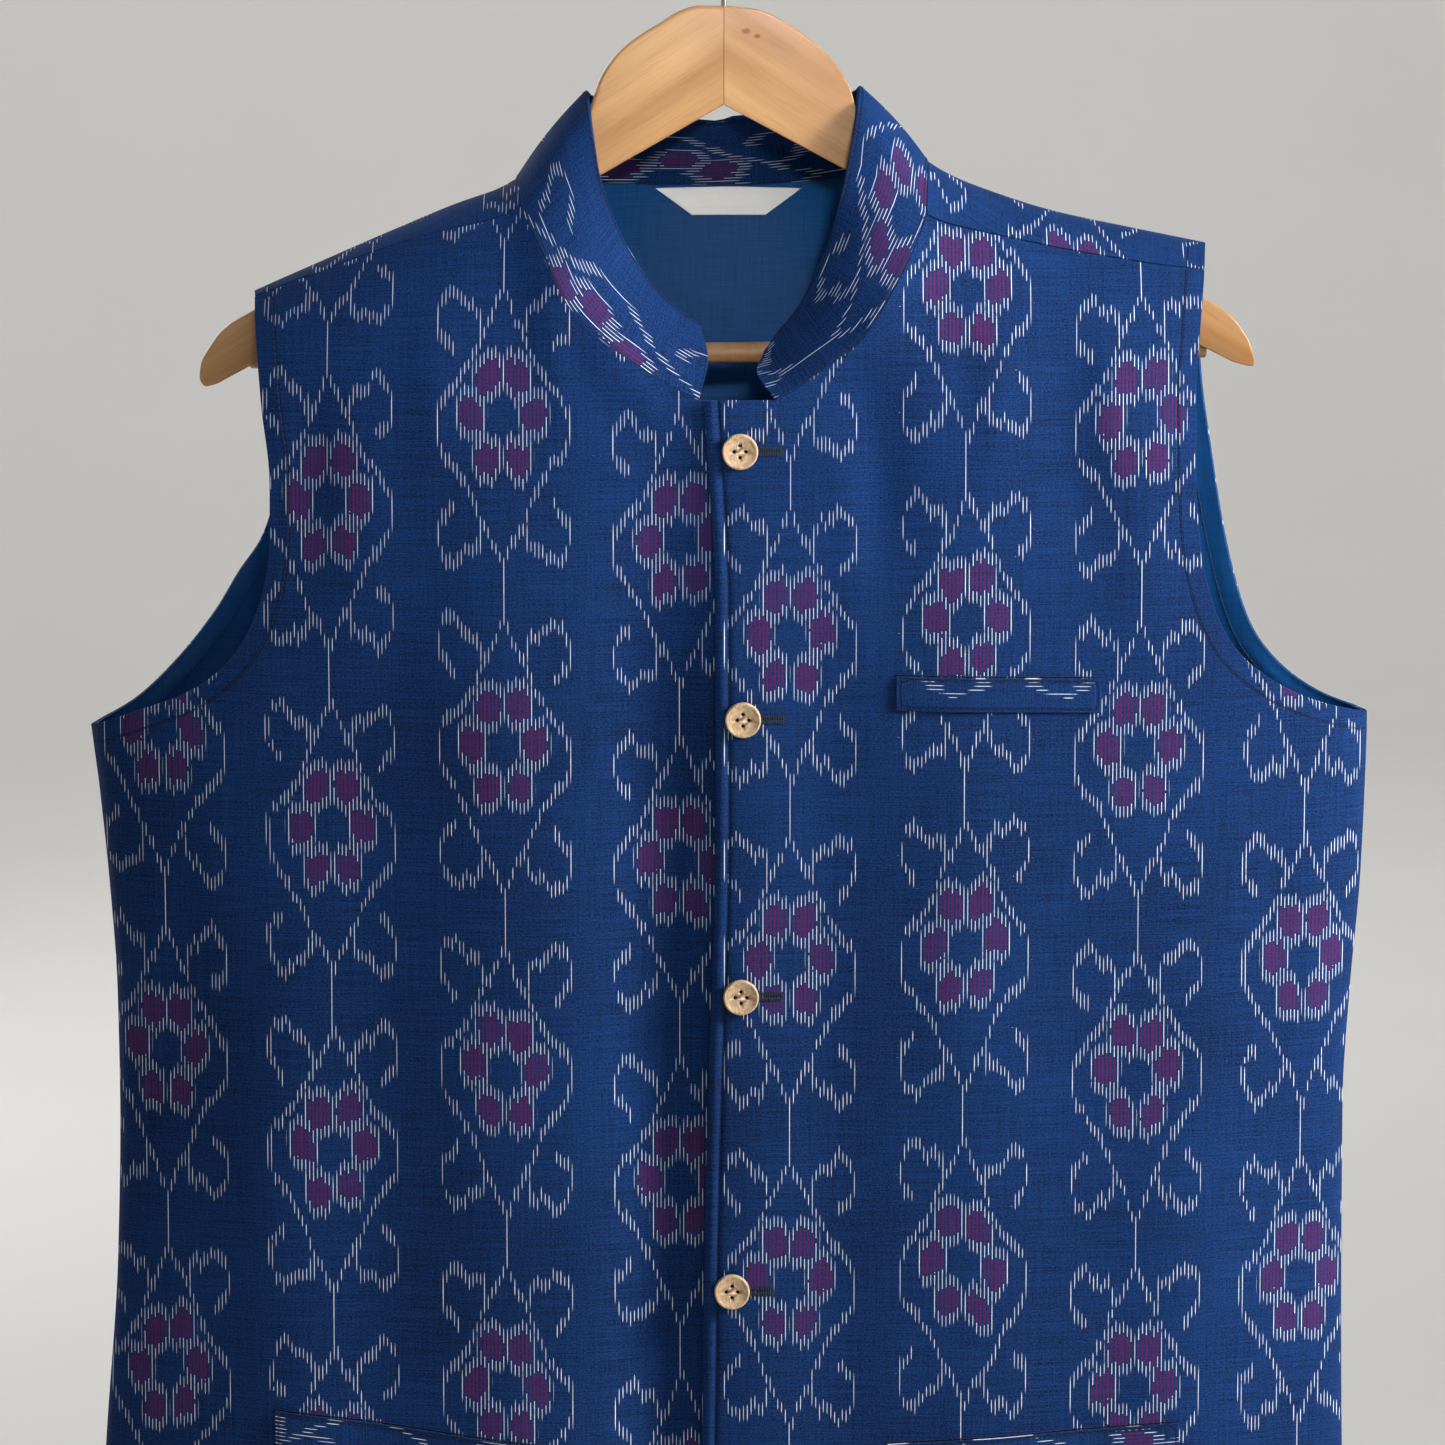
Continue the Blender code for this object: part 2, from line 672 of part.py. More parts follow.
def neck_stations(side):
    """Points and outward directions along the neck seam, front end to middle of the back."""
    first, last = EDGE_COLUMNS, EDGE_COLUMNS + NECK_COLUMNS
    top = front_grid(side)[-1, first : last + 1]
    points, out = front_skin(side, top[:, 0], top[:, 1])
    yoke = yoke_grid(side)[::-1, 0][1:]
    yoke_points, yoke_out = skin(side, True, yoke[:, 0], yoke[:, 1])
    neck = back_grid(side)[-1, :NECK_COLUMNS][::-1]
    back_points, back_out = skin(side, False, neck[:, 0], neck[:, 1])
    points = np.concatenate([points, yoke_points, back_points])
    out = np.concatenate([out, yoke_out, back_out])
    return points, out, NECK_COLUMNS + YOKE_ROWS


def collar_top(side, points, at_ridge):
    """Points of the collar's top edge, one above each station of the neck seam."""
    run = np.concatenate([[0], np.cumsum(np.linalg.norm(np.diff(points, axis=0), axis=1))])
    front = COLLAR_FRONT[side]
    share = run[: at_ridge + 1] / run[at_ridge]
    near = np.stack([along(front["share"], front[k], share) for k in ("reach", "y", "height")], -1)
    reach, _, high = near[-1]
    share = (run[at_ridge + 1 :] - run[at_ridge]) / (run[-1] - run[at_ridge])
    far = np.stack([
        reach * along(COLLAR_BACK["share"], COLLAR_BACK["reach"], share),
        along(COLLAR_BACK["share"], COLLAR_BACK["y"], share),
        high + along(COLLAR_BACK["share"], COLLAR_BACK["height"], share),
    ], -1)
    top = np.concatenate([near, far])
    top[:, 0] *= side
    return top


def collar_half(side):
    """Outer and inner points of half the collar, a row for each station."""
    base, out, at_ridge = neck_stations(side)
    top = collar_top(side, base, at_ridge)
    band = top - base
    up = band - (band * out).sum(-1, keepdims=True) * out
    up /= np.linalg.norm(up, axis=-1, keepdims=True)
    base = base + GAP * up
    band = top - base
    tangent = np.gradient(base + top, axis=0)
    face = np.cross(tangent, band)
    face /= np.linalg.norm(face, axis=-1, keepdims=True)
    face *= np.sign((face * out).sum(-1, keepdims=True))
    outer, inner = [], []
    for row in range(COLLAR_ROWS + 1):
        share = row / COLLAR_ROWS
        line = base + share * band + COLLAR_BULGE * math.sin(math.pi * share) * face
        line[0, 0] -= side * COLLAR_END[side] * math.sin(math.pi * share) ** 1.5
        lean = out + (face - out) * min(1.0, 1.5 * share)
        lean /= np.linalg.norm(lean, axis=-1, keepdims=True)
        wall = COLLAR_WALL + (COLLAR_TOP_WALL - COLLAR_WALL) * share
        outer.append(line)
        inner.append(line - wall * lean)
    return np.array(outer), np.array(inner)


def collar():
    halves = {side: collar_half(side) for side in (RIGHT, LEFT)}
    for k in (0, 1):
        middle = (halves[RIGHT][k][:, -1] + halves[LEFT][k][:, -1]) / 2
        halves[RIGHT][k][:, -1] = middle
        halves[LEFT][k][:, -1] = middle
    outer, inner = (
        np.concatenate([halves[RIGHT][k], halves[LEFT][k][:, -2::-1]], axis=1) for k in (0, 1)
    )
    return walled("collar", [(outer, inner)], CLOTH)


def crossings(grid, z):
    """Where the panel's columns cross this height."""
    return np.array([np.interp(z, column[:, 1], column[:, 0]) for column in grid.swapaxes(0, 1)])


def on_faces(grid, values, reach, z):
    """A panel's values at this reach and height, read from its flat faces."""
    spots = np.array([
        [np.interp(z, column[:, 1], values[:, k, axis]) for axis in range(3)]
        for k, column in enumerate(grid.swapaxes(0, 1))
    ])
    at = crossings(grid, z)
    return np.array([np.interp(reach, at, spots[:, axis]) for axis in range(3)])


def stops_of(grid, lines):
    """For each line across a panel, its ends and the panel's columns that all of them cross."""
    between = []
    for start, end in lines:
        at = crossings(grid, (start[1] + end[1]) / 2)
        least, most = sorted((start[0], end[0]))
        between.append((at > least + LEAST_COLUMN) & (at < most - LEAST_COLUMN))
    shared = np.all(between, axis=0)
    stops = []
    for start, end in lines:
        inside = crossings(grid, (start[1] + end[1]) / 2)[shared]
        least, most = sorted((start[0], end[0]))
        reach = np.concatenate([[least], inside, [most]])
        stops.append(reach if start[0] < end[0] else reach[::-1])
    return stops


def laid(stretches, lift):
    """Points over panels: stretches of (grid, points, out, lines), side by side."""
    rows = [[] for _ in stretches[0][3]]
    for grid, points, out, lines in stretches:
        for row, (start, end), stops in zip(rows, lines, stops_of(grid, lines)):
            for reach in stops:
                share = (reach - start[0]) / (end[0] - start[0])
                z = start[1] + share * (end[1] - start[1])
                way = on_faces(grid, out, reach, z)
                way /= np.linalg.norm(way)
                place = on_faces(grid, points, reach, z) + way * lift
                if row and np.linalg.norm(row[-1] - place) < LEAST_COLUMN / 2:
                    continue
                row.append(place)
    return np.array(rows)


def strip(name, stretches, lift, wall, look):
    """A thin piece that lies on panels, with a column wherever they have one."""
    patch = (laid(stretches, lift + wall), laid(stretches, lift))
    return walled(name, [patch], look)


def welt(name, side, start, end, tall):
    """The strip that edges a pocket, on a front."""
    grid = front_grid(side)
    points, out = front_skin(side, grid[..., 0], grid[..., 1])
    lines = []
    for row in range(WELT_ROWS + 1):
        down = tall * (1 - row / WELT_ROWS)
        lines.append(((start[0], start[1] - down), (end[0], end[1] - down)))
    return strip(name, [(grid, points, out, lines)], WELT_LIFT, WELT_WALL, CLOTH)


def label():
    """The label, on the lining's inner face and across the middle of the back."""
    stretches = []
    for side in (RIGHT, LEFT):
        grid = back_grid(side)
        points, out = skin(side, False, grid[..., 0], grid[..., 1], -BACK_WALL - GAP - LINING_WALL)
        lines = []
        for half, z in ((LABEL_LOW_HALF, LABEL_TOP - LABEL_TALL), (LABEL_TOP_HALF, LABEL_TOP)):
            end = (half + side * LABEL_MIDDLE, z)
            lines.append(((0.0, z), end) if side == LEFT else (end, (0.0, z)))
        stretches.append((grid, points, -out, lines))
    return strip("label", stretches, LABEL_LIFT, LABEL_WALL, TAG)


def ring(radius, height, sides):
    angle = np.linspace(0, 2 * math.pi, sides, endpoint=False)
    return [(radius * math.cos(a), radius * math.sin(a), height) for a in angle]


def turned(name, profile, sides, look):
    """A solid turned about Z from rings of radius and height, bottom to top."""
    points, faces = [], []
    for radius, height in profile:
        points += ring(radius, height, sides)
    faces.append(tuple(range(sides))[::-1])
    for k in range(len(profile) - 1):
        for a in range(sides):
            b = (a + 1) % sides
            low, high = k * sides, (k + 1) * sides
            faces.append((low + a, low + b, high + b, high + a))
    last = (len(profile) - 1) * sides
    faces.append(tuple(range(last, last + sides)))
    return add_mesh(name, points, faces, look)


def cutter(name, profile, sides):
    tool = turned(name, profile, sides, WOOD)
    tool.hide_render = True
    tool.display_type = "WIRE"
    return tool


def cut(part, tool):
    modifier = part.modifiers.new(tool.name, "BOOLEAN")
    modifier.operation = "DIFFERENCE"
    modifier.solver = "EXACT"
    modifier.object = tool


def button(number, x, height):
    """A round four-hole button, a hair above the upper front."""
    profile = [
        (BUTTON_RADIUS - BUTTON_RIM, 0.0),
        (BUTTON_RADIUS, BUTTON_RIM),
        (BUTTON_RADIUS, BUTTON_THICK - BUTTON_RIM),
        (BUTTON_RADIUS - BUTTON_RIM, BUTTON_THICK),
        (BUTTON_RADIUS - 2.4 * BUTTON_RIM, BUTTON_THICK - 0.5 * BUTTON_RIM),
    ]
    part = turned(f"button_{number}", profile, BUTTON_SIDES, SHELL)
    place, out = front_skin(LEFT, np.array([x]), np.array([height]), GAP + 0.0001)
    tilt = math.asin(out[0, 2])
    turn = math.atan2(out[0, 0], -out[0, 1])
    part.location = place[0]
    part.rotation_euler = (math.pi / 2 - tilt, 0, turn)
    for k in range(4):
        hole = cutter(
            f"button_{number}_hole_{k}",
            [(HOLE_RADIUS, -BUTTON_THICK), (HOLE_RADIUS, 2 * BUTTON_THICK)],
            HOLE_SIDES,
        )
        angle = k * math.pi / 2
        hole.parent = part
        hole.location = (HOLE_RING * math.cos(angle), HOLE_RING * math.sin(angle), 0)
        cut(part, hole)
    return part


def hanger_arm(side):
    """Half the hanger: its outline, drawn through the wood's thickness and rounded."""
    outline = [(GAP / 2, CROWN[side][0][1])] + CROWN[side][1:] + ARM_NOSE[side]
    outline += [ARM_UNDER[side], (GAP / 2, NOTCH)]
    flat = [(side * r, z) for r, z in outline]
    count = len(flat)
    points = [(x, -WOOD_HALF, z) for x, z in flat] + [(x, WOOD_HALF, z) for x, z in flat]
    front = tuple(range(count))
    faces = [front, tuple(k + count for k in front[::-1])]
    faces += [(k, k + count, (k + 1) % count + count, (k + 1) % count) for k in range(count)]
    if side == LEFT:
        faces = [face[::-1] for face in faces]
    part = add_mesh("hanger_arm_" + name_of(side), points, [f[::-1] for f in faces], WOOD)
    weights = part.data.attributes.new("bevel_weight_edge", "FLOAT", "EDGE")
    for edge in part.data.edges:
        a, b = (part.data.vertices[k].co for k in edge.vertices)
        mitre = max(abs(a.x), abs(b.x)) < GAP
        weights.data[edge.index].value = 1.0 if a.y == b.y and not mitre else 0.0
    bevel = part.modifiers.new("rounded edges", "BEVEL")
    bevel.width = WOOD_ROUND
    bevel.segments = 2
    bevel.limit_method = "WEIGHT"
    return part


def rod(name, start, end, radius, sides, look):
    """A straight round rod between two points of the hanger's plane."""
    start, end = np.array(start), np.array(end)
    length = np.linalg.norm(end - start)
    part = turned(name, [(radius, 0.0), (radius, length)], sides, look)
    part.location = (start[0], 0, start[1])
    part.rotation_euler = (0, math.atan2(end[0] - start[0], end[1] - start[1]), 0)
    return part


def hook():
    """The hook's wire: a stem in the wood, a bend to the side and the round over the rail."""
    bend = HOOK_INNER + WIRE_RADIUS
    middle = -HOOK_INNER
    route = list(STEM)
    for k in range(BEND_STEPS + 1):
        a = HOOK_START + (HOOK_OPEN - HOOK_START) * k / BEND_STEPS
        route.append((bend * math.cos(a), middle + bend * math.sin(a)))
    curve = bpy.data.curves.new("hook", "CURVE")
    curve.dimensions = "3D"
    curve.bevel_depth = WIRE_RADIUS
    curve.bevel_resolution = 2
    curve.use_fill_caps = True
    spline = curve.splines.new("POLY")
    spline.points.add(len(route) - 1)
    for point, (x, z) in zip(spline.points, route):
        point.co = (x, 0, z, 1)
    curve.materials.append(finish(*STEEL))
    part = bpy.data.objects.new("hook", curve)
    bpy.context.scene.collection.objects.link(part)
    return part


def hanger():
    arms = {side: hanger_arm(side) for side in (LEFT, RIGHT)}
    left_end = (BAR_ENDS[LEFT][0], BAR_ENDS[LEFT][1])
    right_end = (-BAR_ENDS[RIGHT][0], BAR_ENDS[RIGHT][1])
    rod("trouser_bar", right_end, left_end, BAR_RADIUS, BAR_SIDES, WOOD)
    ends = {LEFT: np.array(left_end), RIGHT: np.array(right_end)}
    way = (ends[LEFT] - ends[RIGHT]) / np.linalg.norm(ends[LEFT] - ends[RIGHT])
    for side in (LEFT, RIGHT):
        seat = rod(
            f"bar_seat_{name_of(side)}",
            ends[side] + side * GAP * way,
            ends[side] - side * SEAT_LENGTH * way,
            BAR_RADIUS + GAP,
            BAR_SIDES,
            WOOD,
        )
        seat.hide_render = True
        seat.display_type = "WIRE"
        cut(arms[side], seat)
        stem = rod(
            f"stem_seat_{name_of(side)}",
            (0, STEM[0][1] - GAP),
            STEM[3],
            WIRE_RADIUS + GAP,
            STEM_SIDES,
            WOOD,
        )
        stem.hide_render = True
        stem.display_type = "WIRE"
        cut(arms[side], stem)
    hook()


def main():
    for old in list(bpy.data.objects):
        bpy.data.objects.remove(old)
    front_panel(LEFT)
    front_panel(RIGHT)
    back_layer("back", 0.0, BACK_WALL, CLOTH)
    back_layer("lining_back", BACK_WALL + GAP, LINING_WALL, LINING)
    collar()
    for name, sizes in WELTS.items():
        welt(name, **sizes)
    label()
    for k in range(len(BUTTONS["x"])):
        button(k + 1, BUTTONS["x"][k], BUTTONS["height"][k])
    hanger()


main()
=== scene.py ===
"""How a nehru jacket on a wooden hanger looks: ikat cloth, lining, seams, buttons and wood.

Metres, in the frame of the solids: +Z up, the front faces -Y, +X is the wearer's left. The
cloth's shells follow the same form as the solids, on finer grids and with smaller folds.
"""

import math
from functools import reduce

import bpy
import numpy as np
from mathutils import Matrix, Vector
from mathutils.kdtree import KDTree


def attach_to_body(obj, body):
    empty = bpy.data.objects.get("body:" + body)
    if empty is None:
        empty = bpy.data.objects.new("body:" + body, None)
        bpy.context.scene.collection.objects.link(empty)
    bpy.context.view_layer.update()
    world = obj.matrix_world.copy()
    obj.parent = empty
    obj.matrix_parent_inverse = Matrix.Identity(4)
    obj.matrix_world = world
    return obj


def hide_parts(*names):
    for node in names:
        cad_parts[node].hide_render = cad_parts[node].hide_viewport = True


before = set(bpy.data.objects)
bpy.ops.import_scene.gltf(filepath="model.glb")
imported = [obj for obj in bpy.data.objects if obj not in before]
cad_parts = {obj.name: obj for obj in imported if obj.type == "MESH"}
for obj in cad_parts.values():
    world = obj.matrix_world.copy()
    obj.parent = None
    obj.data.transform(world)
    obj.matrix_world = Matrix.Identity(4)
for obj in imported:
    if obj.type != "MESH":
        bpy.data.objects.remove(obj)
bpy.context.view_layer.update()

GAP = 0.0003  # between pieces that touch
SAME_POINT = 0.00001  # grids of one piece join where their points lie this close
SEAM_SHARE = 0.4  # of GAP, that each piece leaves at the shoulder seam
SIDE_CLEAR = 0.00004  # half the gap at a side seam
CLEAR_FADE = 0.004  # below the ridge, where that share begins
RIGHT, LEFT = -1, 1  # the wearer's sides, as the sign of X

# Thickness of the walls
FRONT_WALL = 0.0020  # a front, its interfacing and lining
BACK_WALL = 0.0012
LINING_WALL = 0.0010
COLLAR_WALL = 0.0025
COLLAR_TOP_WALL = 0.0022
WELT_WALL = 0.0012
LABEL_WALL = 0.0008

HEM = -0.868  # height of the hem

# How the panels are divided
SIDE_ROWS = 62  # hem to underarm
FRONT_ARM_ROWS = 44
BACK_ARM_ROWS = 44
YOKE_ROWS = 8  # ridge to shoulder seam, on the back piece
# Columns beside the closing, as distances from its edge in mm
EDGE_STEPS = (0, 0.6, 1.2, 1.8, 2.6, 3.4, 4.2, 5, 5.8, 6.6, 7.6, 9, 11, 14, 18, 23)
EDGE_COLUMNS = len(EDGE_STEPS)
NECK_COLUMNS = 26
SHOULDER_COLUMNS = 26
HEM_TURN = 0.52  # share of the half width where the hem's columns begin to close up
COLLAR_ROWS = 12
ARM_POINTS = 80  # of an armhole's edge, that distances are measured to
FAR = 1.0  # stands for the distance from an edge that a piece doesn't have


def table(names, rows):
    """The columns of a short table, by name."""
    return dict(zip(names.split(), np.array(rows, float).T))


# Half width of the body, on the wearer's left and right
WIDTH = table("height left right", [
    (-0.868, 0.2745, 0.2790), (-0.700, 0.2701, 0.2700), (-0.615, 0.2690, 0.2638),
    (-0.547, 0.2688, 0.2622), (-0.498, 0.2713, 0.2628), (-0.450, 0.2752, 0.2658),
    (-0.410, 0.2768, 0.2696), (-0.378, 0.2775, 0.2728), (-0.340, 0.2720, 0.2680),
    (-0.250, 0.2570, 0.2500), (-0.140, 0.2420, 0.2340),
])

# How far the front and the back stand from the hanger's plane, at the middle
DEPTH = table("height front back", [
    (-0.868, 0.042, 0.038), (-0.600, 0.046, 0.039), (-0.400, 0.053, 0.042), (-0.240, 0.057, 0.046),
    (-0.140, 0.053, 0.048),
])

# Top line of the shoulders. Beside the neck, NECK_SOFT lifts it by half its own value.
SHOULDER = table("reach left right", [
    (0.080, -0.1430, -0.1500), (0.088, -0.1456, -0.1526), (0.110, -0.1528, -0.1580),
    (0.140, -0.1618, -0.1696), (0.170, -0.1681, -0.1824), (0.200, -0.1741, -0.1955),
    (0.212, -0.1765, -0.2010),
])
NECK_REACH = {LEFT: 0.0874, RIGHT: 0.0892}  # from the middle to the collar, on the ridge
NECK_SOFT = 0.010
NECK_BACK = -0.1528  # height of the back neck seam at the middle
ROLL_NECK, ROLL_TIP = 0.110, 0.056  # how far below the ridge the cloth still rounds over
TIP_REACH = 0.206

# Drop of the shoulder seam below the ridge, on the front
SEAM_DROP = table("reach left right", [
    (0.085, 0.0225, 0.0125), (0.105, 0.0180, 0.0105), (0.140, 0.0140, 0.0060),
    (0.180, 0.0125, 0.0032), (0.205, 0.0105, 0.0020),
])

# Front neckline, from its front end to the shoulder seam
NECKLINE = {
    LEFT: table("reach height", [
        (0.0215, -0.2382), (0.0291, -0.2340), (0.0401, -0.2264), (0.0573, -0.2133),
        (0.0685, -0.1969), (0.0795, -0.1760), (0.0856, -0.1625),
    ]),
    RIGHT: table("reach height", [
        (0.0105, -0.2385), (0.0244, -0.2319), (0.0383, -0.2225), (0.0513, -0.2135),
        (0.0655, -0.1995), (0.0775, -0.1765), (0.0862, -0.1598),
    ]),
}

# Front edge of the armhole, from the underarm up
ARM_FRONT = {
    LEFT: table("reach height", [
        (0.2773, -0.3765), (0.2535, -0.3696), (0.2338, -0.3597), (0.2174, -0.3450),
        (0.2083, -0.3270), (0.2025, -0.3021), (0.2005, -0.2696), (0.2003, -0.2368),
        (0.2021, -0.2100), (0.2045, -0.1858),
    ]),
    RIGHT: table("reach height", [
        (0.2730, -0.3825), (0.2492, -0.3734), (0.2308, -0.3661), (0.2131, -0.3536),
        (0.2023, -0.3382), (0.1955, -0.3193), (0.1930, -0.3009), (0.1928, -0.2748),
        (0.1962, -0.2430), (0.2003, -0.1985),
    ]),
}

# Back edge of the armhole, from the underarm up to the ridge
ARM_BACK = {
    LEFT: table("reach height", [
        (0.2773, -0.3765), (0.2600, -0.3708), (0.2420, -0.3590), (0.2290, -0.3420),
        (0.2215, -0.3200), (0.2163, -0.2970), (0.2112, -0.2659), (0.2066, -0.2325),
        (0.2048, -0.2000), (0.2060, -0.1756),
    ]),
    RIGHT: table("reach height", [
        (0.2730, -0.3825), (0.2560, -0.3735), (0.2375, -0.3565), (0.2204, -0.3351),
        (0.2110, -0.3195), (0.2000, -0.3028), (0.1950, -0.2850), (0.1935, -0.2600),
        (0.1965, -0.2250), (0.2010, -0.1962),
    ]),
}
# Rows of the back close under the ridge, as shares of TIP_BAND
TIP_SHARES = (0.02, 0.06, 0.12, 0.20, 0.30, 0.42, 0.56, 0.72)
TIP_BAND = 0.050
BACK_WAIST = -0.405  # where the underarm's row meets the middle of the back

# Closing edge of the upper front, and how far under it the lower front goes
CLOSING = table("height x", [
    (-0.868, -0.0120), (-0.689, -0.0094), (-0.573, -0.0077), (-0.409, -0.0036), (-0.323, -0.0038),
    (-0.272, -0.0063), (-0.238, -0.0085),
])
UNDERLAP = 0.030
# How far the lower front falls back beside the closing edge
FALL_BACK = table("height depth", [
    (-0.868, 0.0080), (-0.600, 0.0075), (-0.400, 0.0050), (-0.300, 0.0032), (-0.235, 0.0026),
])
FALL_FROM, FALL_TO = 0.070, 0.014  # reach where the lower front starts to fall back, and is down

# Top edge of the collar, from its front end round to the shoulder ridge
COLLAR_FRONT = {
    LEFT: table("share reach y height", [
        (0.00, 0.0166, -0.0290, -0.2198), (0.10, 0.0217, -0.0285, -0.2121),
        (0.20, 0.0306, -0.0280, -0.2011), (0.35, 0.0382, -0.0275, -0.1871),
        (0.50, 0.0446, -0.0265, -0.1722), (0.60, 0.0488, -0.0250, -0.1560),
        (0.70, 0.0520, -0.0215, -0.1425), (0.80, 0.0545, -0.0165, -0.1300),
        (0.90, 0.0567, -0.0110, -0.1185), (1.00, 0.0580, 0.0000, -0.1080),
    ]),
    RIGHT: table("share reach y height", [
        (0.00, 0.0095, -0.0310, -0.2080), (0.10, 0.0170, -0.0305, -0.2030),
        (0.20, 0.0265, -0.0300, -0.1950), (0.35, 0.0370, -0.0290, -0.1810),
        (0.50, 0.0455, -0.0280, -0.1650), (0.60, 0.0500, -0.0260, -0.1530),
        (0.70, 0.0530, -0.0220, -0.1430), (0.80, 0.0552, -0.0165, -0.1310),
        (0.90, 0.0572, -0.0110, -0.1200), (1.00, 0.0588, 0.0000, -0.1100),
    ]),
}
# The same from the ridge to the middle of the back, for both sides
COLLAR_BACK = table("share reach y height", [
    (0.00, 1.000, 0.0000, 0.0000), (0.08, 0.990, 0.0070, -0.0012), (0.20, 0.930, 0.0120, -0.0035),
    (0.40, 0.740, 0.0165, -0.0070), (0.70, 0.400, 0.0190, -0.0118), (1.00, 0.000, 0.0200, -0.0140),
])
COLLAR_BULGE = 0.0015
COLLAR_END = {LEFT: 0.0045, RIGHT: 0.0030}  # how far the rounded front end leans to the middle

# Soft folds of the cloth: a line from one point to another, how wide and how high it stands
FOLDS = table("front x_top z_top x_low z_low width rise", [
    (1, 0.062, -0.215, 0.070, -0.330, 0.012, -0.0030),
    (1, 0.142, -0.190, 0.150, -0.330, 0.016, -0.0028),
    (1, 0.178, -0.230, 0.180, -0.400, 0.014, 0.0020),
    (1, -0.060, -0.212, -0.012, -0.262, 0.009, 0.0024),
    (1, -0.150, -0.210, -0.158, -0.400, 0.016, 0.0020),
    (1, 0.205, -0.420, 0.190, -0.868, 0.026, 0.0030),
    (1, -0.195, -0.420, -0.180, -0.868, 0.026, 0.0030),
    (0, -0.070, -0.200, -0.085, -0.560, 0.026, -0.0030),
    (0, 0.075, -0.200, 0.095, -0.600, 0.024, -0.0028),
    (0, 0.010, -0.330, 0.000, -0.868, 0.030, 0.0034),
    (0, -0.165, -0.340, -0.150, -0.868, 0.028, 0.0036),
    (0, 0.170, -0.330, 0.160, -0.868, 0.028, 0.0034),
    # The fronts' long soft bands
    (1, -0.102, -0.120, -0.088, -0.868, 0.026, 0.0028),
    (1, -0.150, -0.200, -0.152, -0.868, 0.024, -0.0020),
    (1, -0.038, -0.150, -0.020, -0.868, 0.022, -0.0055),
    (1, 0.038, -0.220, 0.052, -0.868, 0.019, -0.0024),
    (1, 0.090, -0.120, 0.124, -0.868, 0.026, 0.0028),
    # Smaller ones, which the solids leave out
    (1, 0.118, -0.186, 0.112, -0.300, 0.008, 0.0012),
    (1, 0.052, -0.262, 0.058, -0.370, 0.008, 0.0009),
    (1, 0.100, -0.200, 0.104, -0.262, 0.006, -0.0009),
    (1, 0.160, -0.200, 0.166, -0.290, 0.007, 0.0010),
    (1, -0.076, -0.186, -0.066, -0.262, 0.007, 0.0010),
    (1, -0.120, -0.188, -0.128, -0.300, 0.010, 0.0012),
    (1, -0.172, -0.220, -0.178, -0.330, 0.008, -0.0010),
    (1, 0.090, -0.400, 0.098, -0.560, 0.014, 0.0010),
    (1, 0.232, -0.395, 0.240, -0.560, 0.012, -0.0012),
    (1, -0.070, -0.380, -0.078, -0.560, 0.014, 0.0010),
    (1, -0.232, -0.400, -0.238, -0.580, 0.012, -0.0012),
    (0, -0.120, -0.190, -0.128, -0.360, 0.012, 0.0012),
    (0, 0.125, -0.190, 0.135, -0.360, 0.012, 0.0012),
    (0, -0.030, -0.210, -0.028, -0.420, 0.010, 0.0010),
    (0, 0.040, -0.210, 0.046, -0.430, 0.010, 0.0010),
    (0, 0.090, -0.560, 0.080, -0.868, 0.016, -0.0012),
    (0, -0.080, -0.560, -0.070, -0.868, 0.016, -0.0012),
])

FOLD_BEGINS, FOLD_ENDS = 0.35, 0.50  # shares of a fold's length over which it comes and goes
SIDE_FADE = 0.12  # share of the half width over which folds die out at the side seams
RIDGE_FADE = 0.030  # and how far below the ridge they have died out

# Welts: the mouth's two ends and the welt's height below it
WELTS = {
    "chest_welt": dict(side=LEFT, start=(0.0726, -0.3553), end=(0.1597, -0.3574), tall=0.0148),
    "pocket_welt_left": dict(side=LEFT, start=(0.0699, -0.6896), end=(0.1957, -0.6821), tall=0.020),
    "pocket_welt_right": dict(side=RIGHT, start=(0.0663, -0.6918), end=(0.1930, -0.6768), tall=0.020),
}
WELT_LIFT = 0.0005
WELT_ROWS = 8
WELT_STEP = 0.003  # from column to column

# Label, on the lining under the back collar
LABEL_TOP_HALF = 0.0325
LABEL_LOW_HALF = 0.0160
LABEL_MIDDLE = 0.002
LABEL_TOP = -0.1535
LABEL_TALL = 0.0122
LABEL_LIFT = 0.0007
LABEL_CURL = 0.0010  # how much its lower corners stand off

# Buttons, along the middle of the closing
BUTTONS = table("x height", [
    (0.0068, -0.2598), (0.0081, -0.3740), (0.0073, -0.4936), (0.0035, -0.6223), (0.0020, -0.7470),
])
BUTTON_LIFT = GAP + 0.0001
HOLE_RADIUS = 0.00085
HOLE_RING = 0.0025

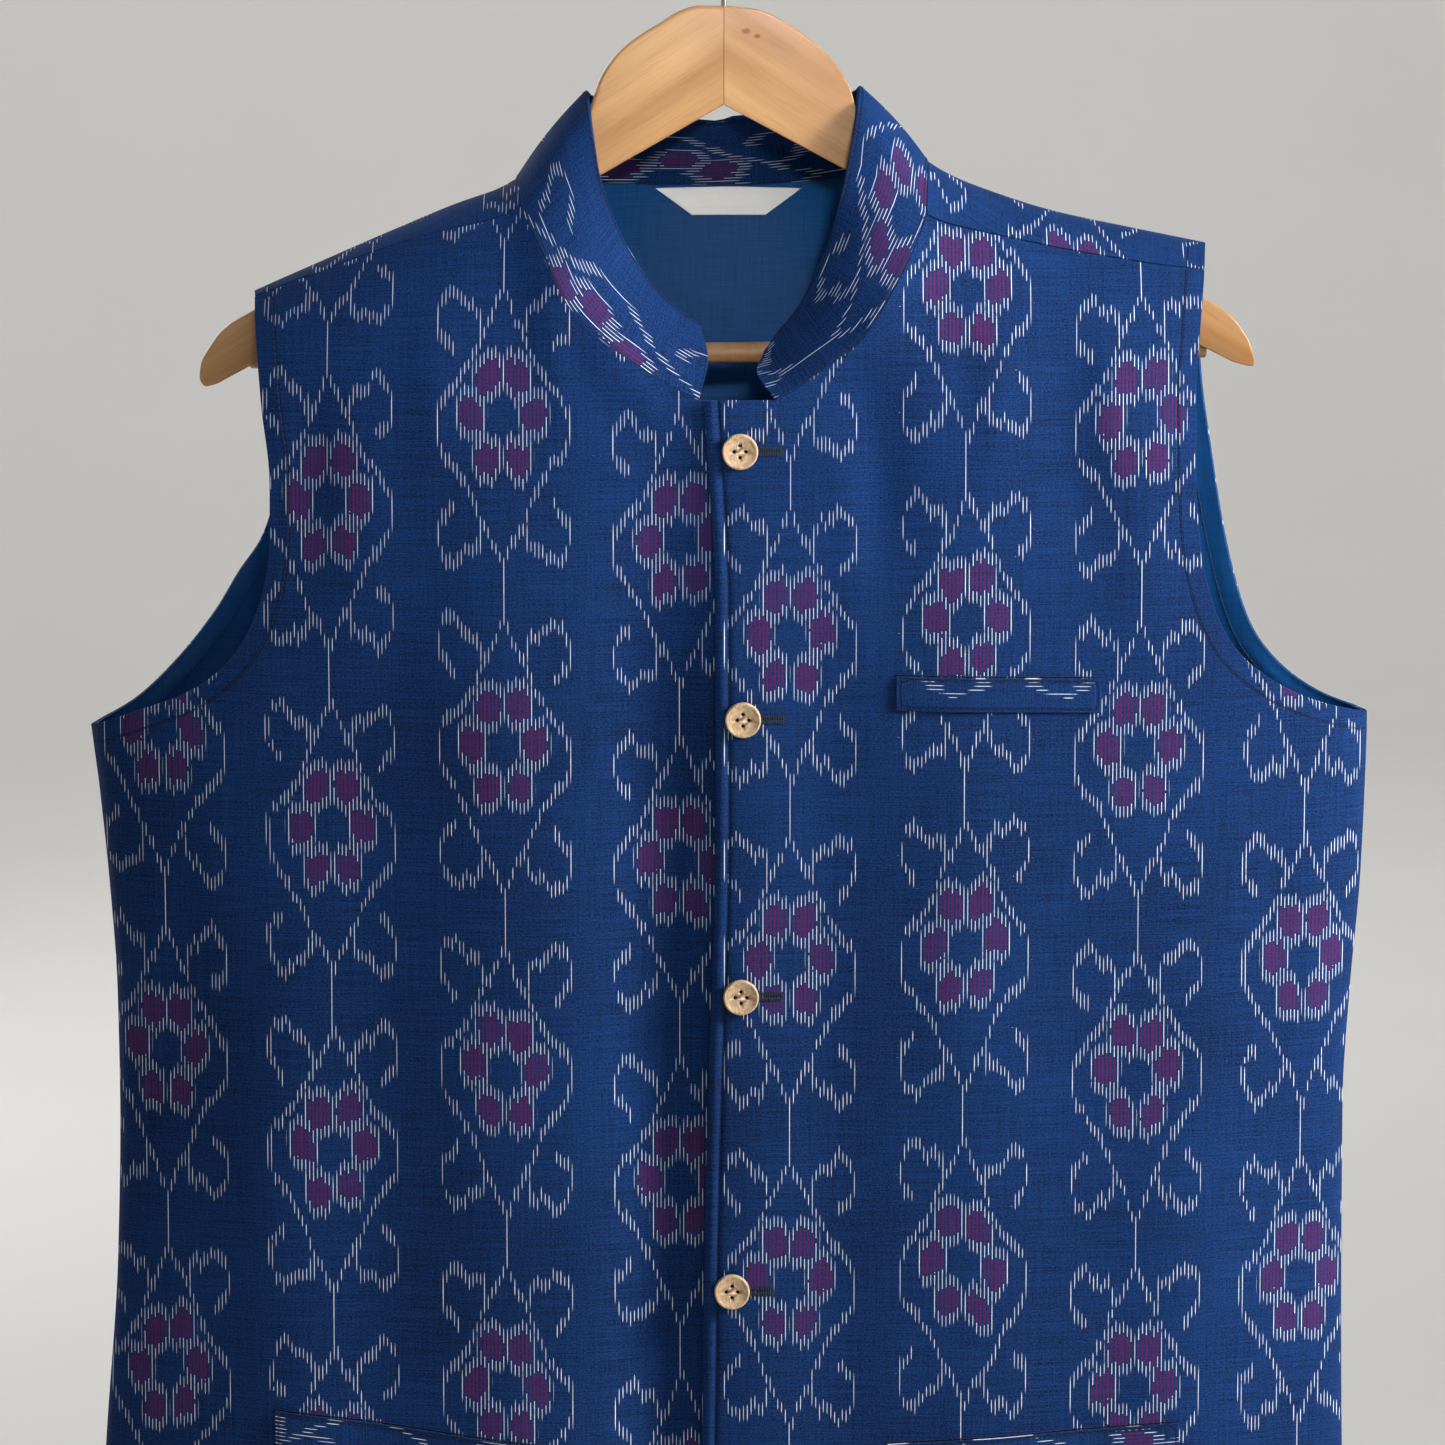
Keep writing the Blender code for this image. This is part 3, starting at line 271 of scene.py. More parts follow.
# Hanger, in the plane Y = 0
WOOD_HALF = 0.006
WOOD_ROUND = 0.0025
CROWN = {
    LEFT: [
        (0.0000, -0.0744), (0.0136, -0.0759), (0.0251, -0.0807), (0.0379, -0.0896),
        (0.0477, -0.0993), (0.0535, -0.1085), (0.0564, -0.1180), (0.0650, -0.1330),
        (0.0780, -0.1430), (0.0950, -0.1494),
    ],
    RIGHT: [
        (0.0000, -0.0744), (0.0110, -0.0744), (0.0191, -0.0767), (0.0272, -0.0815),
        (0.0399, -0.0896), (0.0467, -0.0959), (0.0531, -0.1057), (0.0562, -0.1150),
        (0.0640, -0.1340), (0.0780, -0.1475), (0.0950, -0.1549),
    ],
}
ARM_NOSE = {
    LEFT: [
        (0.2041, -0.1980), (0.2149, -0.2044), (0.2209, -0.2112), (0.2251, -0.2183),
        (0.2270, -0.2262), (0.2262, -0.2277), (0.2189, -0.2262), (0.2125, -0.2232),
    ],
    RIGHT: [
        (0.2024, -0.2044), (0.2140, -0.2117), (0.2205, -0.2202), (0.2238, -0.2266),
        (0.2244, -0.2326), (0.2219, -0.2365), (0.2175, -0.2355), (0.2129, -0.2332),
    ],
}
ARM_UNDER = {LEFT: (0.0503, -0.1430), RIGHT: (0.0515, -0.1456)}
NOTCH = -0.1163  # height of the notch under the middle
BAR_RADIUS = 0.0045
BAR_ENDS = {LEFT: (0.2065, -0.2199), RIGHT: (0.2030, -0.2246)}
BAR_EASE = 0.0006
SEAT_LENGTH = 0.08  # how far along the bar the arms are cut for it

# Hook: a wire, bent round the rail
WIRE_RADIUS = 0.0013
HOOK_INNER = 0.0200
STEM = [
    (0.0, -0.0880), (0.0, -0.0740), (0.0, -0.0660), (0.0, -0.0580), (0.0028, -0.0500),
    (0.0090, -0.0428),
]
BEND_STEPS = 18
HOOK_START = math.radians(-38)
HOOK_OPEN = math.radians(205)  # where the bend ends, from the +X side over the top


# The closing edge's form: distance from the edge, width and rise
EDGE_FORM = ((0.0027, 0.0019, 0.0010), (0.0058, 0.0009, -0.0008))
SEAM_CLOSE = 0.00002  # the collar meets the body
FOLD_ROUND = 0.0006  # rounding of the cloth's folded edges

# The cloth's cut is measured along an ellipse for the body's section
CUT_HALF, CUT_DEPTH = 0.28, 0.05
FRONT_SHIFT = {RIGHT: 0.3167, LEFT: 0.4188}  # puts the pattern's columns in their places
BACK_SHIFT = 1.1920
COLLAR_SHIFT = 1.7135
# Along the collar from its right end: a flower's middle above the seam, and the chart's slip
COLLAR_LEAN = table("run across slip", [(0.054, -0.004, 0.0), (0.363, 0.008, 0.030)])
WELT_SHIFT = {
    "chest_welt": (1.9572, -0.0285),
    "pocket_welt_left": (2.0115, 0.0300),
    "pocket_welt_right": (2.0860, 0.0650),
}

# Pattern, in millimetres
THREAD = 1.64  # from one white thread to the next
COLUMN = 74.5
REPEAT = 139.5
WEAVE = 0.62
DASH_WIDE = 0.162
DASH_THIN = 0.030  # taken off the width, so that a dash ends in a point
DASH_TAPER = 0.6
DASH_EDGE = 16.0  # steepness of a dash's edges, and of a purple stripe's
STRIPE_EDGE = 7.0
STRIPE_HALF = 0.36
LEAST_DASH = 0.01
JITTER = 3.4  # how far a single thread slips
SLIP, SLIP_WIDE, SLIP_ROW = 13.0, 30.0, 7.3  # how threads slip together, over what width
# Where each column's flower stands, as a share of the repeat: right front, left front, back,
# collar, welts
PHASES = (
    0.30, 0.260, 0.972, 0.234, 0.864, 0.10, 0.571, 0.617, 0.214, 0.540, 0.05, 0.50,
    0.76, 0.25, 0.62, 0.12, 0.48, 0.90, 0.35, 0.80, 0.20, 0.50, 0.72, 0.387, 0.05, 0.55,
    0.20, 0.60, 0.90, 0.35, 0.50, 0.75,
)
CHART_WIDE, CHART_HIGH = 40.0, 70.0
# Lines of dashes: distance from the column's middle, height from the ogee's middle, half a dash
OGEE = table("across up half", [
    (0, 59, 3.4), (2, 54, 3.4), (4, 48.5, 3.4), (6, 44.5, 3.4), (8, 41.5, 3.4), (10, 37.5, 3.4),
    (12, 32, 3.3), (14, 27.5, 3.3), (16, 23.5, 3.3), (18, 20.5, 3.3), (20, 17.5, 3.3),
    (22, 15, 3.3), (24, 12.5, 3.3), (26.6, 9.5, 3.3), (26.8, 0, 11), (28.4, 0, 11), (28.6, 0, 0),
    (40, 0, 0),
])
LOBE = table("across up half", [
    (0, 45, 0), (8.6, 45, 0), (8.8, 45, 7.2), (9.9, 45.5, 7.2), (11, 50, 3.6), (13, 52.5, 3.4),
    (15, 51, 3.4), (17, 53, 3.4), (19, 56, 3.4), (21, 58, 3.4), (23, 56.5, 3.4), (25, 55, 3.4),
    (26.6, 53.5, 3.4), (26.9, 44.5, 8.2), (28.4, 44.5, 8.2), (28.6, 44.5, 0), (40, 44, 0),
])
HOOK = table("across up half", [
    (0, 33, 0), (20.6, 33, 0), (20.8, 33.2, 3.6), (21.5, 33.5, 3.6), (23, 35, 3.6),
    (24.5, 36.5, 3.6), (26, 38.5, 3.6), (26.7, 39, 3.6), (26.9, 39, 0), (40, 39, 0),
])
STEM_FROM = 57.0
FLOWER_UP = 4.0  # the flower's middle above the ogee's
PETALS = table("across up wide tall", [
    (6.2, 17.8, 5.6, 7.4), (13.3, 1.8, 5.6, 7.6), (6.7, -16.8, 5.3, 6.8),
])
PETAL_RIM = (1.7, 5.0)
PETAL_ROUND = 2.4
RIM_INSIDE = 0.16

INDIGO_DARK = (0.0012, 0.0072, 0.0360)
INDIGO_LIGHT = (0.0066, 0.0460, 0.1880)
UNDYED = (0.800, 0.850, 0.950)
PURPLE = (0.100, 0.014, 0.098)
LINING_DARK = (0.0010, 0.0430, 0.1600)
LINING_LIGHT = (0.0020, 0.0780, 0.2700)
LABEL_DARK, LABEL_LIGHT = (0.90, 0.90, 0.86), (0.97, 0.97, 0.94)
LABEL_RIB = 0.0006
NAVY_DYE, HOLE_DYE = (0.003, 0.007, 0.024), (0.006, 0.018, 0.040)
CHROME = (0.72, 0.72, 0.73, 1.0)
PAPER_DARK, PAPER_LIGHT = (0.72, 0.71, 0.69), (0.76, 0.75, 0.73)

# Lining wrinkles beside the armholes
CREASE_PITCH = 0.014
CREASE_BAND = 0.036
CREASE_RISE = 0.0013
CREASE_SLANT = 5.95  # waves in a metre of height
CREASE_DRIFT = 0.047
CREASE_START = 0.006

# Sewing
ARM_STITCH = 0.0080
EDGE_STITCH = 0.0058
COLLAR_STITCH = 0.0015
WELT_STITCH = 0.0015
WELT_PUFF = 0.0003  # how much a welt's middle stands up
STITCH_LIFT = 0.00006
STITCH_LONG, STITCH_PITCH, STITCH_RADIUS = 0.0021, 0.0029, 0.00020
STITCH_ARCH = 0.00012
# Painted shadow: a dark cord of close, overlapping threads over each pocket's mouth
MOUTH_SHADOW_CORD = (0.0034, 0.0030, 0.00028)  # length, pitch and radius over a pocket's mouth
MOUTH_ABOVE = 0.0004
THREAD_TIP = 0.55  # a stitch's ends, as a share of its radius
WALK_STEP = 0.001  # over which a line's direction is taken
# Half width of a stitching groove, which is sunk by bump and darkened as painted shade
GROOVE_HALF = 0.0011
CLOSING_TOP = -0.2455
# Stitches that hold the neck's end, on the upper front
NECK_STITCH = (
    (0.0009, -0.2461), (0.0152, -0.2452), (0.0235, -0.2446), (0.0258, -0.2420), (0.0285, -0.2372),
)
HOLE_FROM, HOLE_TO, HOLE_STEP = 0.0040, 0.0172, 0.00072
HOLE_SPREAD = 0.0010
HOLE_LIFT = 0.00022

# A button's profile: radius and height, from its back to its dish
BUTTON_PROFILE = (
    (0.0066, 0.0), (0.0073, 0.0003), (0.0076, 0.0009), (0.0076, 0.0021), (0.0074, 0.0027),
    (0.0070, 0.0030), (0.0065, 0.0029), (0.0060, 0.0025), (0.0053, 0.0022), (0.0030, 0.0021),
)
SHELL_DARK = (0.330, 0.190, 0.085)
SHELL_LIGHT = (0.720, 0.520, 0.320)

# Wood
GLUE_INSET = 0.0003
GRAIN_TURN = math.radians(-33)
WOOD_DARK = (0.335, 0.150, 0.048)
WOOD_LIGHT = (0.560, 0.315, 0.136)
KNOTS = ((0.0094, -0.0850, 0.0016), (0.0141, -0.0871, 0.0011))
KNOT_HALO = (0.400, 0.160, 0.045)
KNOT_CORE = (0.110, 0.038, 0.014)
KNOT_WIDE = 1.5
GLUE_DARK, GLUE_LIGHT = (0.030, 0.014, 0.006), (0.070, 0.035, 0.014)

# Camera, at the photograph's place, and the studio
IMAGE_PIXELS = 1445
FOCAL_PIXELS = 7012
SENSOR = 36.0
CAMERA_SPOT = (-0.0006, -3.0, -0.003)
CAMERA_DOWN = 7.2
FLOOR = -1.02
ROOM = 6.5  # the pale room's radius, its height and the cove at its foot
ROOM_TALL = 5.0
COVE = 1.5
COVE_STEPS = 12
SKY = (0.90, 0.93, 1.0, 1.0)
AMBIENT = 0.09
# Name, place, what it points at, watts, size and spread in degrees
LIGHTS = (
    ("key", (1.43, -0.60, 0.28), (0.0, 0.0, -0.36), 46.0, 0.5, 180),
    ("front", (0.45, -2.4, 0.95), (0.0, 0.0, -0.24), 6.0, 1.0, 180),
    ("neck", (0.30, -2.7, 0.60), (0.0, 0.0, -0.14), 0.16, 0.25, 11),
    ("ceiling", (0.0, 0.6, 4.4), (0.0, 0.6, -1.0), 40.0, 5.0, 180),
    ("wall", (0.0, 2.6, 2.4), (0.0, 6.5, 0.9), 90.0, 2.5, 180),
    ("back", (-1.8, 2.4, 0.8), (0.0, 0.0, -0.40), 36.0, 1.6, 180),
)


def along(xs, ys, at):
    """A smooth line through a table's points, which never overshoots them."""
    order = np.argsort(xs)
    xs, ys = np.asarray(xs)[order], np.asarray(ys)[order]
    rise = np.diff(ys) / np.diff(xs)
    slope = np.concatenate([rise[:1], np.zeros(len(xs) - 2), rise[-1:]])
    both = rise[:-1] * rise[1:]
    total = rise[:-1] + rise[1:]
    bends = both > 0
    slope[1:-1][bends] = 2 * both[bends] / total[bends]
    at = np.clip(at, xs[0], xs[-1])
    k = np.clip(np.searchsorted(xs, at) - 1, 0, len(xs) - 2)
    step = xs[k + 1] - xs[k]
    t = (at - xs[k]) / step
    return (
        ys[k] * (1 + 2 * t) * (1 - t) ** 2
        + ys[k + 1] * t**2 * (3 - 2 * t)
        + step * t * (1 - t) * (slope[k] * (1 - t) - slope[k + 1] * t)
    )


def ease(t):
    """0 to 1 with level ends."""
    t = np.clip(t, 0, 1)
    return t * t * (3 - 2 * t)


def name_of(side):
    return "left" if side == LEFT else "right"


def unit(ways):
    return ways / np.linalg.norm(ways, axis=-1, keepdims=True)


def lengths(points):
    """Length along a line of points, up to each of them."""
    return np.concatenate([[0], np.cumsum(np.linalg.norm(np.diff(points, axis=0), axis=1))])


def half_width(side, z):
    return along(WIDTH["height"], WIDTH[name_of(side)], z)


def depth(front, z):
    return along(DEPTH["height"], DEPTH["front" if front else "back"], z)


def roll(reach):
    """How far below the ridge the cloth still rounds over."""
    share = (np.abs(reach) - NECK_REACH[LEFT]) / (TIP_REACH - NECK_REACH[LEFT])
    return ROLL_NECK + (ROLL_TIP - ROLL_NECK) * np.clip(share, 0, 1)


def ridge(side, reach):
    """Height of the body's top line: the shoulder, and a cone that the neck is cut from."""
    line = SHOULDER[name_of(side)]
    shoulder = along(SHOULDER["reach"], line, reach)
    foot = along(SHOULDER["reach"], line, NECK_REACH[side])
    cone = foot + ROLL_NECK * (1 - reach / NECK_REACH[side])
    return (shoulder + cone + np.sqrt((shoulder - cone) ** 2 + NECK_SOFT**2)) / 2


def rounding(side, reach, z):
    """Square of how much of the full depth the cloth has at this height: 0 on the ridge."""
    left = np.clip(1 - (ridge(side, reach) - z) / roll(reach), 0, 1)
    return 1 - left**2


def level(side, front, reach, y, z):
    """Zero on the body, and more outside it."""
    flat = 1 - (reach / half_width(side, z)) ** 2
    return (y / depth(front, z)) ** 2 - rounding(side, reach, z) * flat


def body(side, front, reach, z):
    """Points of the body, and the way out of it there."""
    flat = np.clip(1 - (reach / half_width(side, z)) ** 2, 0, 1)
    y = depth(front, z) * np.sqrt(rounding(side, reach, z) * flat) * (-1 if front else 1)
    clear = SIDE_CLEAR * ease((ridge(side, reach) - z) / CLEAR_FADE) * (-1 if front else 1)
    step = SAME_POINT
    slopes = [
        level(side, front, reach + step, y, z) - level(side, front, reach - step, y, z),
        level(side, front, reach, y + step, z) - level(side, front, reach, y - step, z),
        level(side, front, reach, y, z + step) - level(side, front, reach, y, z - step),
    ]
    out = unit(np.stack([slopes[0] * side, slopes[1], slopes[2]], -1))
    return np.stack([reach * side, y + clear, z], -1), out


def relief(side, front, reach, z):
    """Height of the soft folds, which die out at the sides and over the shoulders."""
    x = reach * side
    height = np.zeros(np.shape(x))
    for k, of_front in enumerate(FOLDS["front"]):
        if bool(of_front) != front:
            continue
        top = np.array([FOLDS["x_top"][k], FOLDS["z_top"][k]])
        low = np.array([FOLDS["x_low"][k], FOLDS["z_low"][k]])
        run = low - top
        share = ((x - top[0]) * run[0] + (z - top[1]) * run[1]) / (run @ run)
        beside = ((x - top[0]) * run[1] - (z - top[1]) * run[0]) / np.linalg.norm(run)
        ends = ease(share / FOLD_BEGINS)
        if low[1] > HEM:
            ends *= ease((1 - share) / FOLD_ENDS)
        height += FOLDS["rise"][k] * ends * np.exp(-((beside / FOLDS["width"][k]) ** 2))
    near_side = ease((1 - np.abs(reach) / half_width(side, z)) / SIDE_FADE)
    near_ridge = ease((ridge(side, np.abs(reach)) - z) / RIDGE_FADE)
    return height * near_side * near_ridge


def skin(side, front, reach, z, lift=0.0):
    """Points of the cloth's outer face, moved out by lift, and the way out."""
    reach, z = np.asarray(reach, float), np.asarray(z, float)
    points, out = body(side, front, reach, z)
    rise = relief(side, front, reach, z) + lift
    return points + out * np.asarray(rise)[..., None], out


def fall_back(side, reach, z):
    """How far the lower front lies inside the body beside the closing."""
    if side == LEFT:
        return np.zeros(np.shape(reach))
    down = along(FALL_BACK["height"], FALL_BACK["depth"], z)
    return down * ease((FALL_FROM - reach) / (FALL_FROM - FALL_TO))


def edge_rise(side, reach, z):
    """The closing edge's soft roll, and the groove of its stitching."""
    if side == RIGHT:
        return np.zeros(np.shape(reach))
    away = reach - front_edge(side, z)
    return sum(rise * np.exp(-(((away - at) / wide) ** 2)) for at, wide, rise in EDGE_FORM)


def front_skin(side, reach, z, lift=0.0):
    rise = edge_rise(side, reach, z) - fall_back(side, reach, z)
    return skin(side, True, reach, z, lift + rise)


def spaced(rows, shares):
    """Points at these shares of the way along a table's line of reach and height."""
    x, z = rows["reach"], rows["height"]
    run = lengths(np.stack([x, z], -1))
    at = run[-1] * np.asarray(shares)
    return np.stack([along(run, x, at), along(run, z, at)], -1)


def side_line(side, top):
    """The side seam from the hem to the underarm."""
    z = np.linspace(HEM, top, SIDE_ROWS + 1)
    return np.stack([half_width(side, z), z], -1)


def share_of(line, axis):
    return (line[:, axis] - line[0, axis]) / (line[-1, axis] - line[0, axis])


def fill(bottom, right, top, left):
    """A grid of reach and height between four edges."""
    a = ((share_of(bottom, 0) + share_of(top, 0)) / 2)[None, :, None]
    b = ((share_of(right, 1) + share_of(left, 1)) / 2)[:, None, None]
    across = (1 - a) * left[:, None] + a * right[:, None]
    upward = (1 - b) * bottom[None] + b * top[None]
    corners = (
        (1 - a) * (1 - b) * bottom[0]
        + a * (1 - b) * bottom[-1]
        + (1 - a) * b * top[0]
        + a * b * top[-1]
    )
    return across + upward - corners


def hem_line(side, start, inner_columns, outer_columns):
    """Columns at the hem: even ones at the middle, closer ones round the side."""
    wide = half_width(side, HEM)
    inner = np.linspace(start, HEM_TURN * wide, inner_columns + 1)[:-1]
    outer = wide * np.sin(np.linspace(math.asin(HEM_TURN), math.pi / 2, outer_columns + 1))
    reach = np.concatenate([inner, outer])
    return np.stack([reach, np.full(len(reach), HEM)], -1)


def seam_height(side, reach):
    """Height of the shoulder seam."""
    return ridge(side, reach) - along(SEAM_DROP["reach"], SEAM_DROP[name_of(side)], reach)


def shoulder_reaches(side):
    """Where the shoulder's columns stand, from the neck to the tip."""
    first, last = NECKLINE[side]["reach"][-1], ARM_FRONT[side]["reach"][-1]
    return np.linspace(first, last, SHOULDER_COLUMNS + 1)


def front_edge(side, z):
    """Reach of a front's closing edge, which is beyond the middle."""
    x = along(CLOSING["height"], CLOSING["x"], z)
    return x if side == LEFT else -(x + UNDERLAP)


def front_grid(side):
    neck = spaced(NECKLINE[side], np.linspace(0, 1, NECK_COLUMNS + 1))
    seam = shoulder_reaches(side)
    top_z = neck[0, 1]
    flat = front_edge(side, top_z) + np.array(EDGE_STEPS) / 1000
    shoulder = np.stack([seam, seam_height(side, seam) - SEAM_SHARE * GAP], -1)
    top = np.concatenate([
        np.stack([flat, np.full(len(flat), top_z)], -1),
        neck[:-1],
        shoulder,
    ])
    arm = spaced(ARM_FRONT[side], np.linspace(0, 1, FRONT_ARM_ROWS + 1))
    arm[-1] = shoulder[-1]
    right = np.concatenate([side_line(side, arm[0, 1])[:-1], arm])
    start = front_edge(side, HEM) + np.array(EDGE_STEPS) / 1000
    rest = hem_line(side, 2 * start[-1] - start[-2], NECK_COLUMNS, SHOULDER_COLUMNS)
    bottom = np.concatenate([np.stack([start, np.full(len(start), HEM)], -1), rest])
    even = np.linspace(0, 1, len(right))
    heights = HEM + (top_z - HEM) * (0.5 * even + 0.5 * share_of(right, 1))
    left = np.stack([front_edge(side, heights), heights], -1)
    return fill(bottom, right, top, left)


def back_top(side):
    """Top of the back: the neck seam from the middle, then the shoulder's ridge."""
    a = np.linspace(0, math.pi / 2, NECK_COLUMNS + 1)
    reach = NECK_REACH[side] * np.sin(a)
    high = ridge(side, NECK_REACH[side])
    neck = np.stack([reach, NECK_BACK + (high - NECK_BACK) * np.sin(a) ** 2], -1)
    seam = np.linspace(NECK_REACH[side], ARM_BACK[side]["reach"][-1], SHOULDER_COLUMNS + 1)
    return np.concatenate([neck[:-1], np.stack([seam, ridge(side, seam)], -1)])


def back_grid(side):
    top = back_top(side)
    line = ARM_BACK[side]
    drop = np.array(TIP_SHARES) * TIP_BAND
    tall = np.hypot(np.diff(line["reach"]), np.diff(line["height"])).sum()
    even = np.linspace(0, 1 - TIP_BAND / tall, BACK_ARM_ROWS - len(drop))
    arm = spaced(line, np.concatenate([even, 1 - drop[::-1] / tall, [1]]))
    arm[-1] = top[-1]
    right = np.concatenate([side_line(side, arm[0, 1])[:-1], arm])
    bottom = hem_line(side, 0.0, NECK_COLUMNS, SHOULDER_COLUMNS)
    low = np.linspace(HEM, BACK_WAIST, SIDE_ROWS + 1)[:-1]
    middle = np.linspace(BACK_WAIST, NECK_BACK - TIP_BAND, len(even))
    heights = np.concatenate([low, middle, NECK_BACK - drop[::-1], [NECK_BACK]])
    left = np.stack([np.zeros(len(heights)), heights], -1)
    return fill(bottom, right, top, left)


def yoke_grid(side):
    """The back piece in front of the ridge: rows from the ridge to the shoulder seam."""
    high = back_top(side)[NECK_COLUMNS:]
    reach = shoulder_reaches(side)
    low = seam_height(side, reach) + SEAM_SHARE * GAP
    seam_drop = ridge(side, reach) - low
    rows = []
    for k in range(YOKE_ROWS + 1):
        share = k / YOKE_ROWS
        at = high[:, 0] + (reach - high[:, 0]) * share
        rows.append(np.stack([at, ridge(side, at) - seam_drop * share**2], -1))
    return np.array(rows)


def neck_stations(side):
    """Points and outward directions along the neck seam, front end to middle of the back."""
    first, last = EDGE_COLUMNS, EDGE_COLUMNS + NECK_COLUMNS
    top = front_grid(side)[-1, first : last + 1]
    points, out = front_skin(side, top[:, 0], top[:, 1])
    yoke = yoke_grid(side)[::-1, 0][1:]
    yoke_points, yoke_out = skin(side, True, yoke[:, 0], yoke[:, 1])
    neck = back_grid(side)[-1, :NECK_COLUMNS][::-1]
    back_points, back_out = skin(side, False, neck[:, 0], neck[:, 1])
    points = np.concatenate([points, yoke_points, back_points])
    out = np.concatenate([out, yoke_out, back_out])
    return points, out, NECK_COLUMNS + YOKE_ROWS


def collar_top(side, points, at_ridge):
    """Points of the collar's top edge, one above each station of the neck seam."""
    run = lengths(points)
    front = COLLAR_FRONT[side]
    share = run[: at_ridge + 1] / run[at_ridge]
    near = np.stack([along(front["share"], front[k], share) for k in ("reach", "y", "height")], -1)
    reach, _, high = near[-1]
    share = (run[at_ridge + 1 :] - run[at_ridge]) / (run[-1] - run[at_ridge])
    far = np.stack([
        reach * along(COLLAR_BACK["share"], COLLAR_BACK["reach"], share),
        along(COLLAR_BACK["share"], COLLAR_BACK["y"], share),
        high + along(COLLAR_BACK["share"], COLLAR_BACK["height"], share),
    ], -1)
    top = np.concatenate([near, far])
    top[:, 0] *= side
    return top


def collar_half(side):
    """Outer and inner points of half the collar, a row for each station."""
    base, out, at_ridge = neck_stations(side)
    top = collar_top(side, base, at_ridge)
    band = top - base
    base = base + SEAM_CLOSE * unit(band - (band * out).sum(-1, keepdims=True) * out)
    band = top - base
    face = unit(np.cross(np.gradient(base + top, axis=0), band))
    face *= np.sign((face * out).sum(-1, keepdims=True))
    outer, inner = [], []
    for row in range(COLLAR_ROWS + 1):
        share = row / COLLAR_ROWS
        line = base + share * band + COLLAR_BULGE * math.sin(math.pi * share) * face
        line[0, 0] -= side * COLLAR_END[side] * math.sin(math.pi * share) ** 1.5
        lean = unit(out + (face - out) * min(1.0, 1.5 * share))
        wall = COLLAR_WALL + (COLLAR_TOP_WALL - COLLAR_WALL) * share
        outer.append(line)
        inner.append(line - wall * lean)
    return np.array(outer), np.array(inner)


def arc_over(wide, deep, angle):
    """Length along a quarter of an ellipse, from its top to this angle."""
    steps = np.linspace(0, 1, 25).reshape((-1,) + (1,) * np.ndim(angle)) * angle
    speed = np.hypot(wide * np.cos(steps), deep * np.sin(steps))
    return ((speed[1:] + speed[:-1]) / 2 * np.diff(steps, axis=0)).sum(0)


def across(x):
    """Distance along the cloth from the middle, where the body's section has this x."""
    angle = np.arcsin(np.clip(np.abs(x) / CUT_HALF, 0, 1))
    return np.sign(x) * arc_over(CUT_HALF, CUT_DEPTH, angle)


def upward(side, reach, z, over=False):
    """Height along the cloth, which is z below the shoulder's roll. over is beyond the ridge."""
    reach = np.abs(reach)
    rolled = roll(reach)
    drop = ridge(side, reach) - z
    angle = np.arccos(1 - np.clip(drop / rolled, 0, 1))
    run = arc_over(CUT_DEPTH, rolled, angle) + np.maximum(drop - rolled, 0)
    full = arc_over(CUT_DEPTH, rolled, np.full(np.shape(rolled), math.pi / 2))
    return ridge(side, reach) - rolled + full + (run if over else -run)


def distance_to(points, line):
    """Distance of each point to a line of points."""
    start, run = line[:-1], np.diff(line, axis=0)
    flat = points.reshape(-1, 1, points.shape[-1])
    share = ((flat - start) * run).sum(-1) / np.maximum((run**2).sum(-1), 1e-12)
    near = start + np.clip(share, 0, 1)[..., None] * run
    return np.linalg.norm(flat - near, axis=-1).min(1).reshape(points.shape[:-1])


def operator(kind, swapped=False, clamp=False):
    """Arithmetic with a value as a node. Swapped puts the other number first."""

    def made(self, other=0.0):
        pair = (other, self) if swapped else (self, other)
        return self.net.math(kind, *pair, clamp=clamp)

    return made


class Value:
    """A number that a material's nodes work out, written as arithmetic."""

    def __init__(self, net, socket):
        self.net = net
        self.socket = socket

    __add__ = operator("ADD")
    __sub__ = operator("SUBTRACT")
    __rsub__ = operator("SUBTRACT", swapped=True)
    __mul__ = operator("MULTIPLY")
    __truediv__ = operator("DIVIDE")
    __pow__ = operator("POWER")
    __gt__ = operator("GREATER_THAN")
    __lt__ = operator("LESS_THAN")
    __abs__ = operator("ABSOLUTE")
    floor = operator("FLOOR")
    sine = operator("SINE")
    root = operator("SQRT")
    larger = operator("MAXIMUM")
    steep = operator("MULTIPLY", clamp=True)  # times a number, then kept from 0 to 1


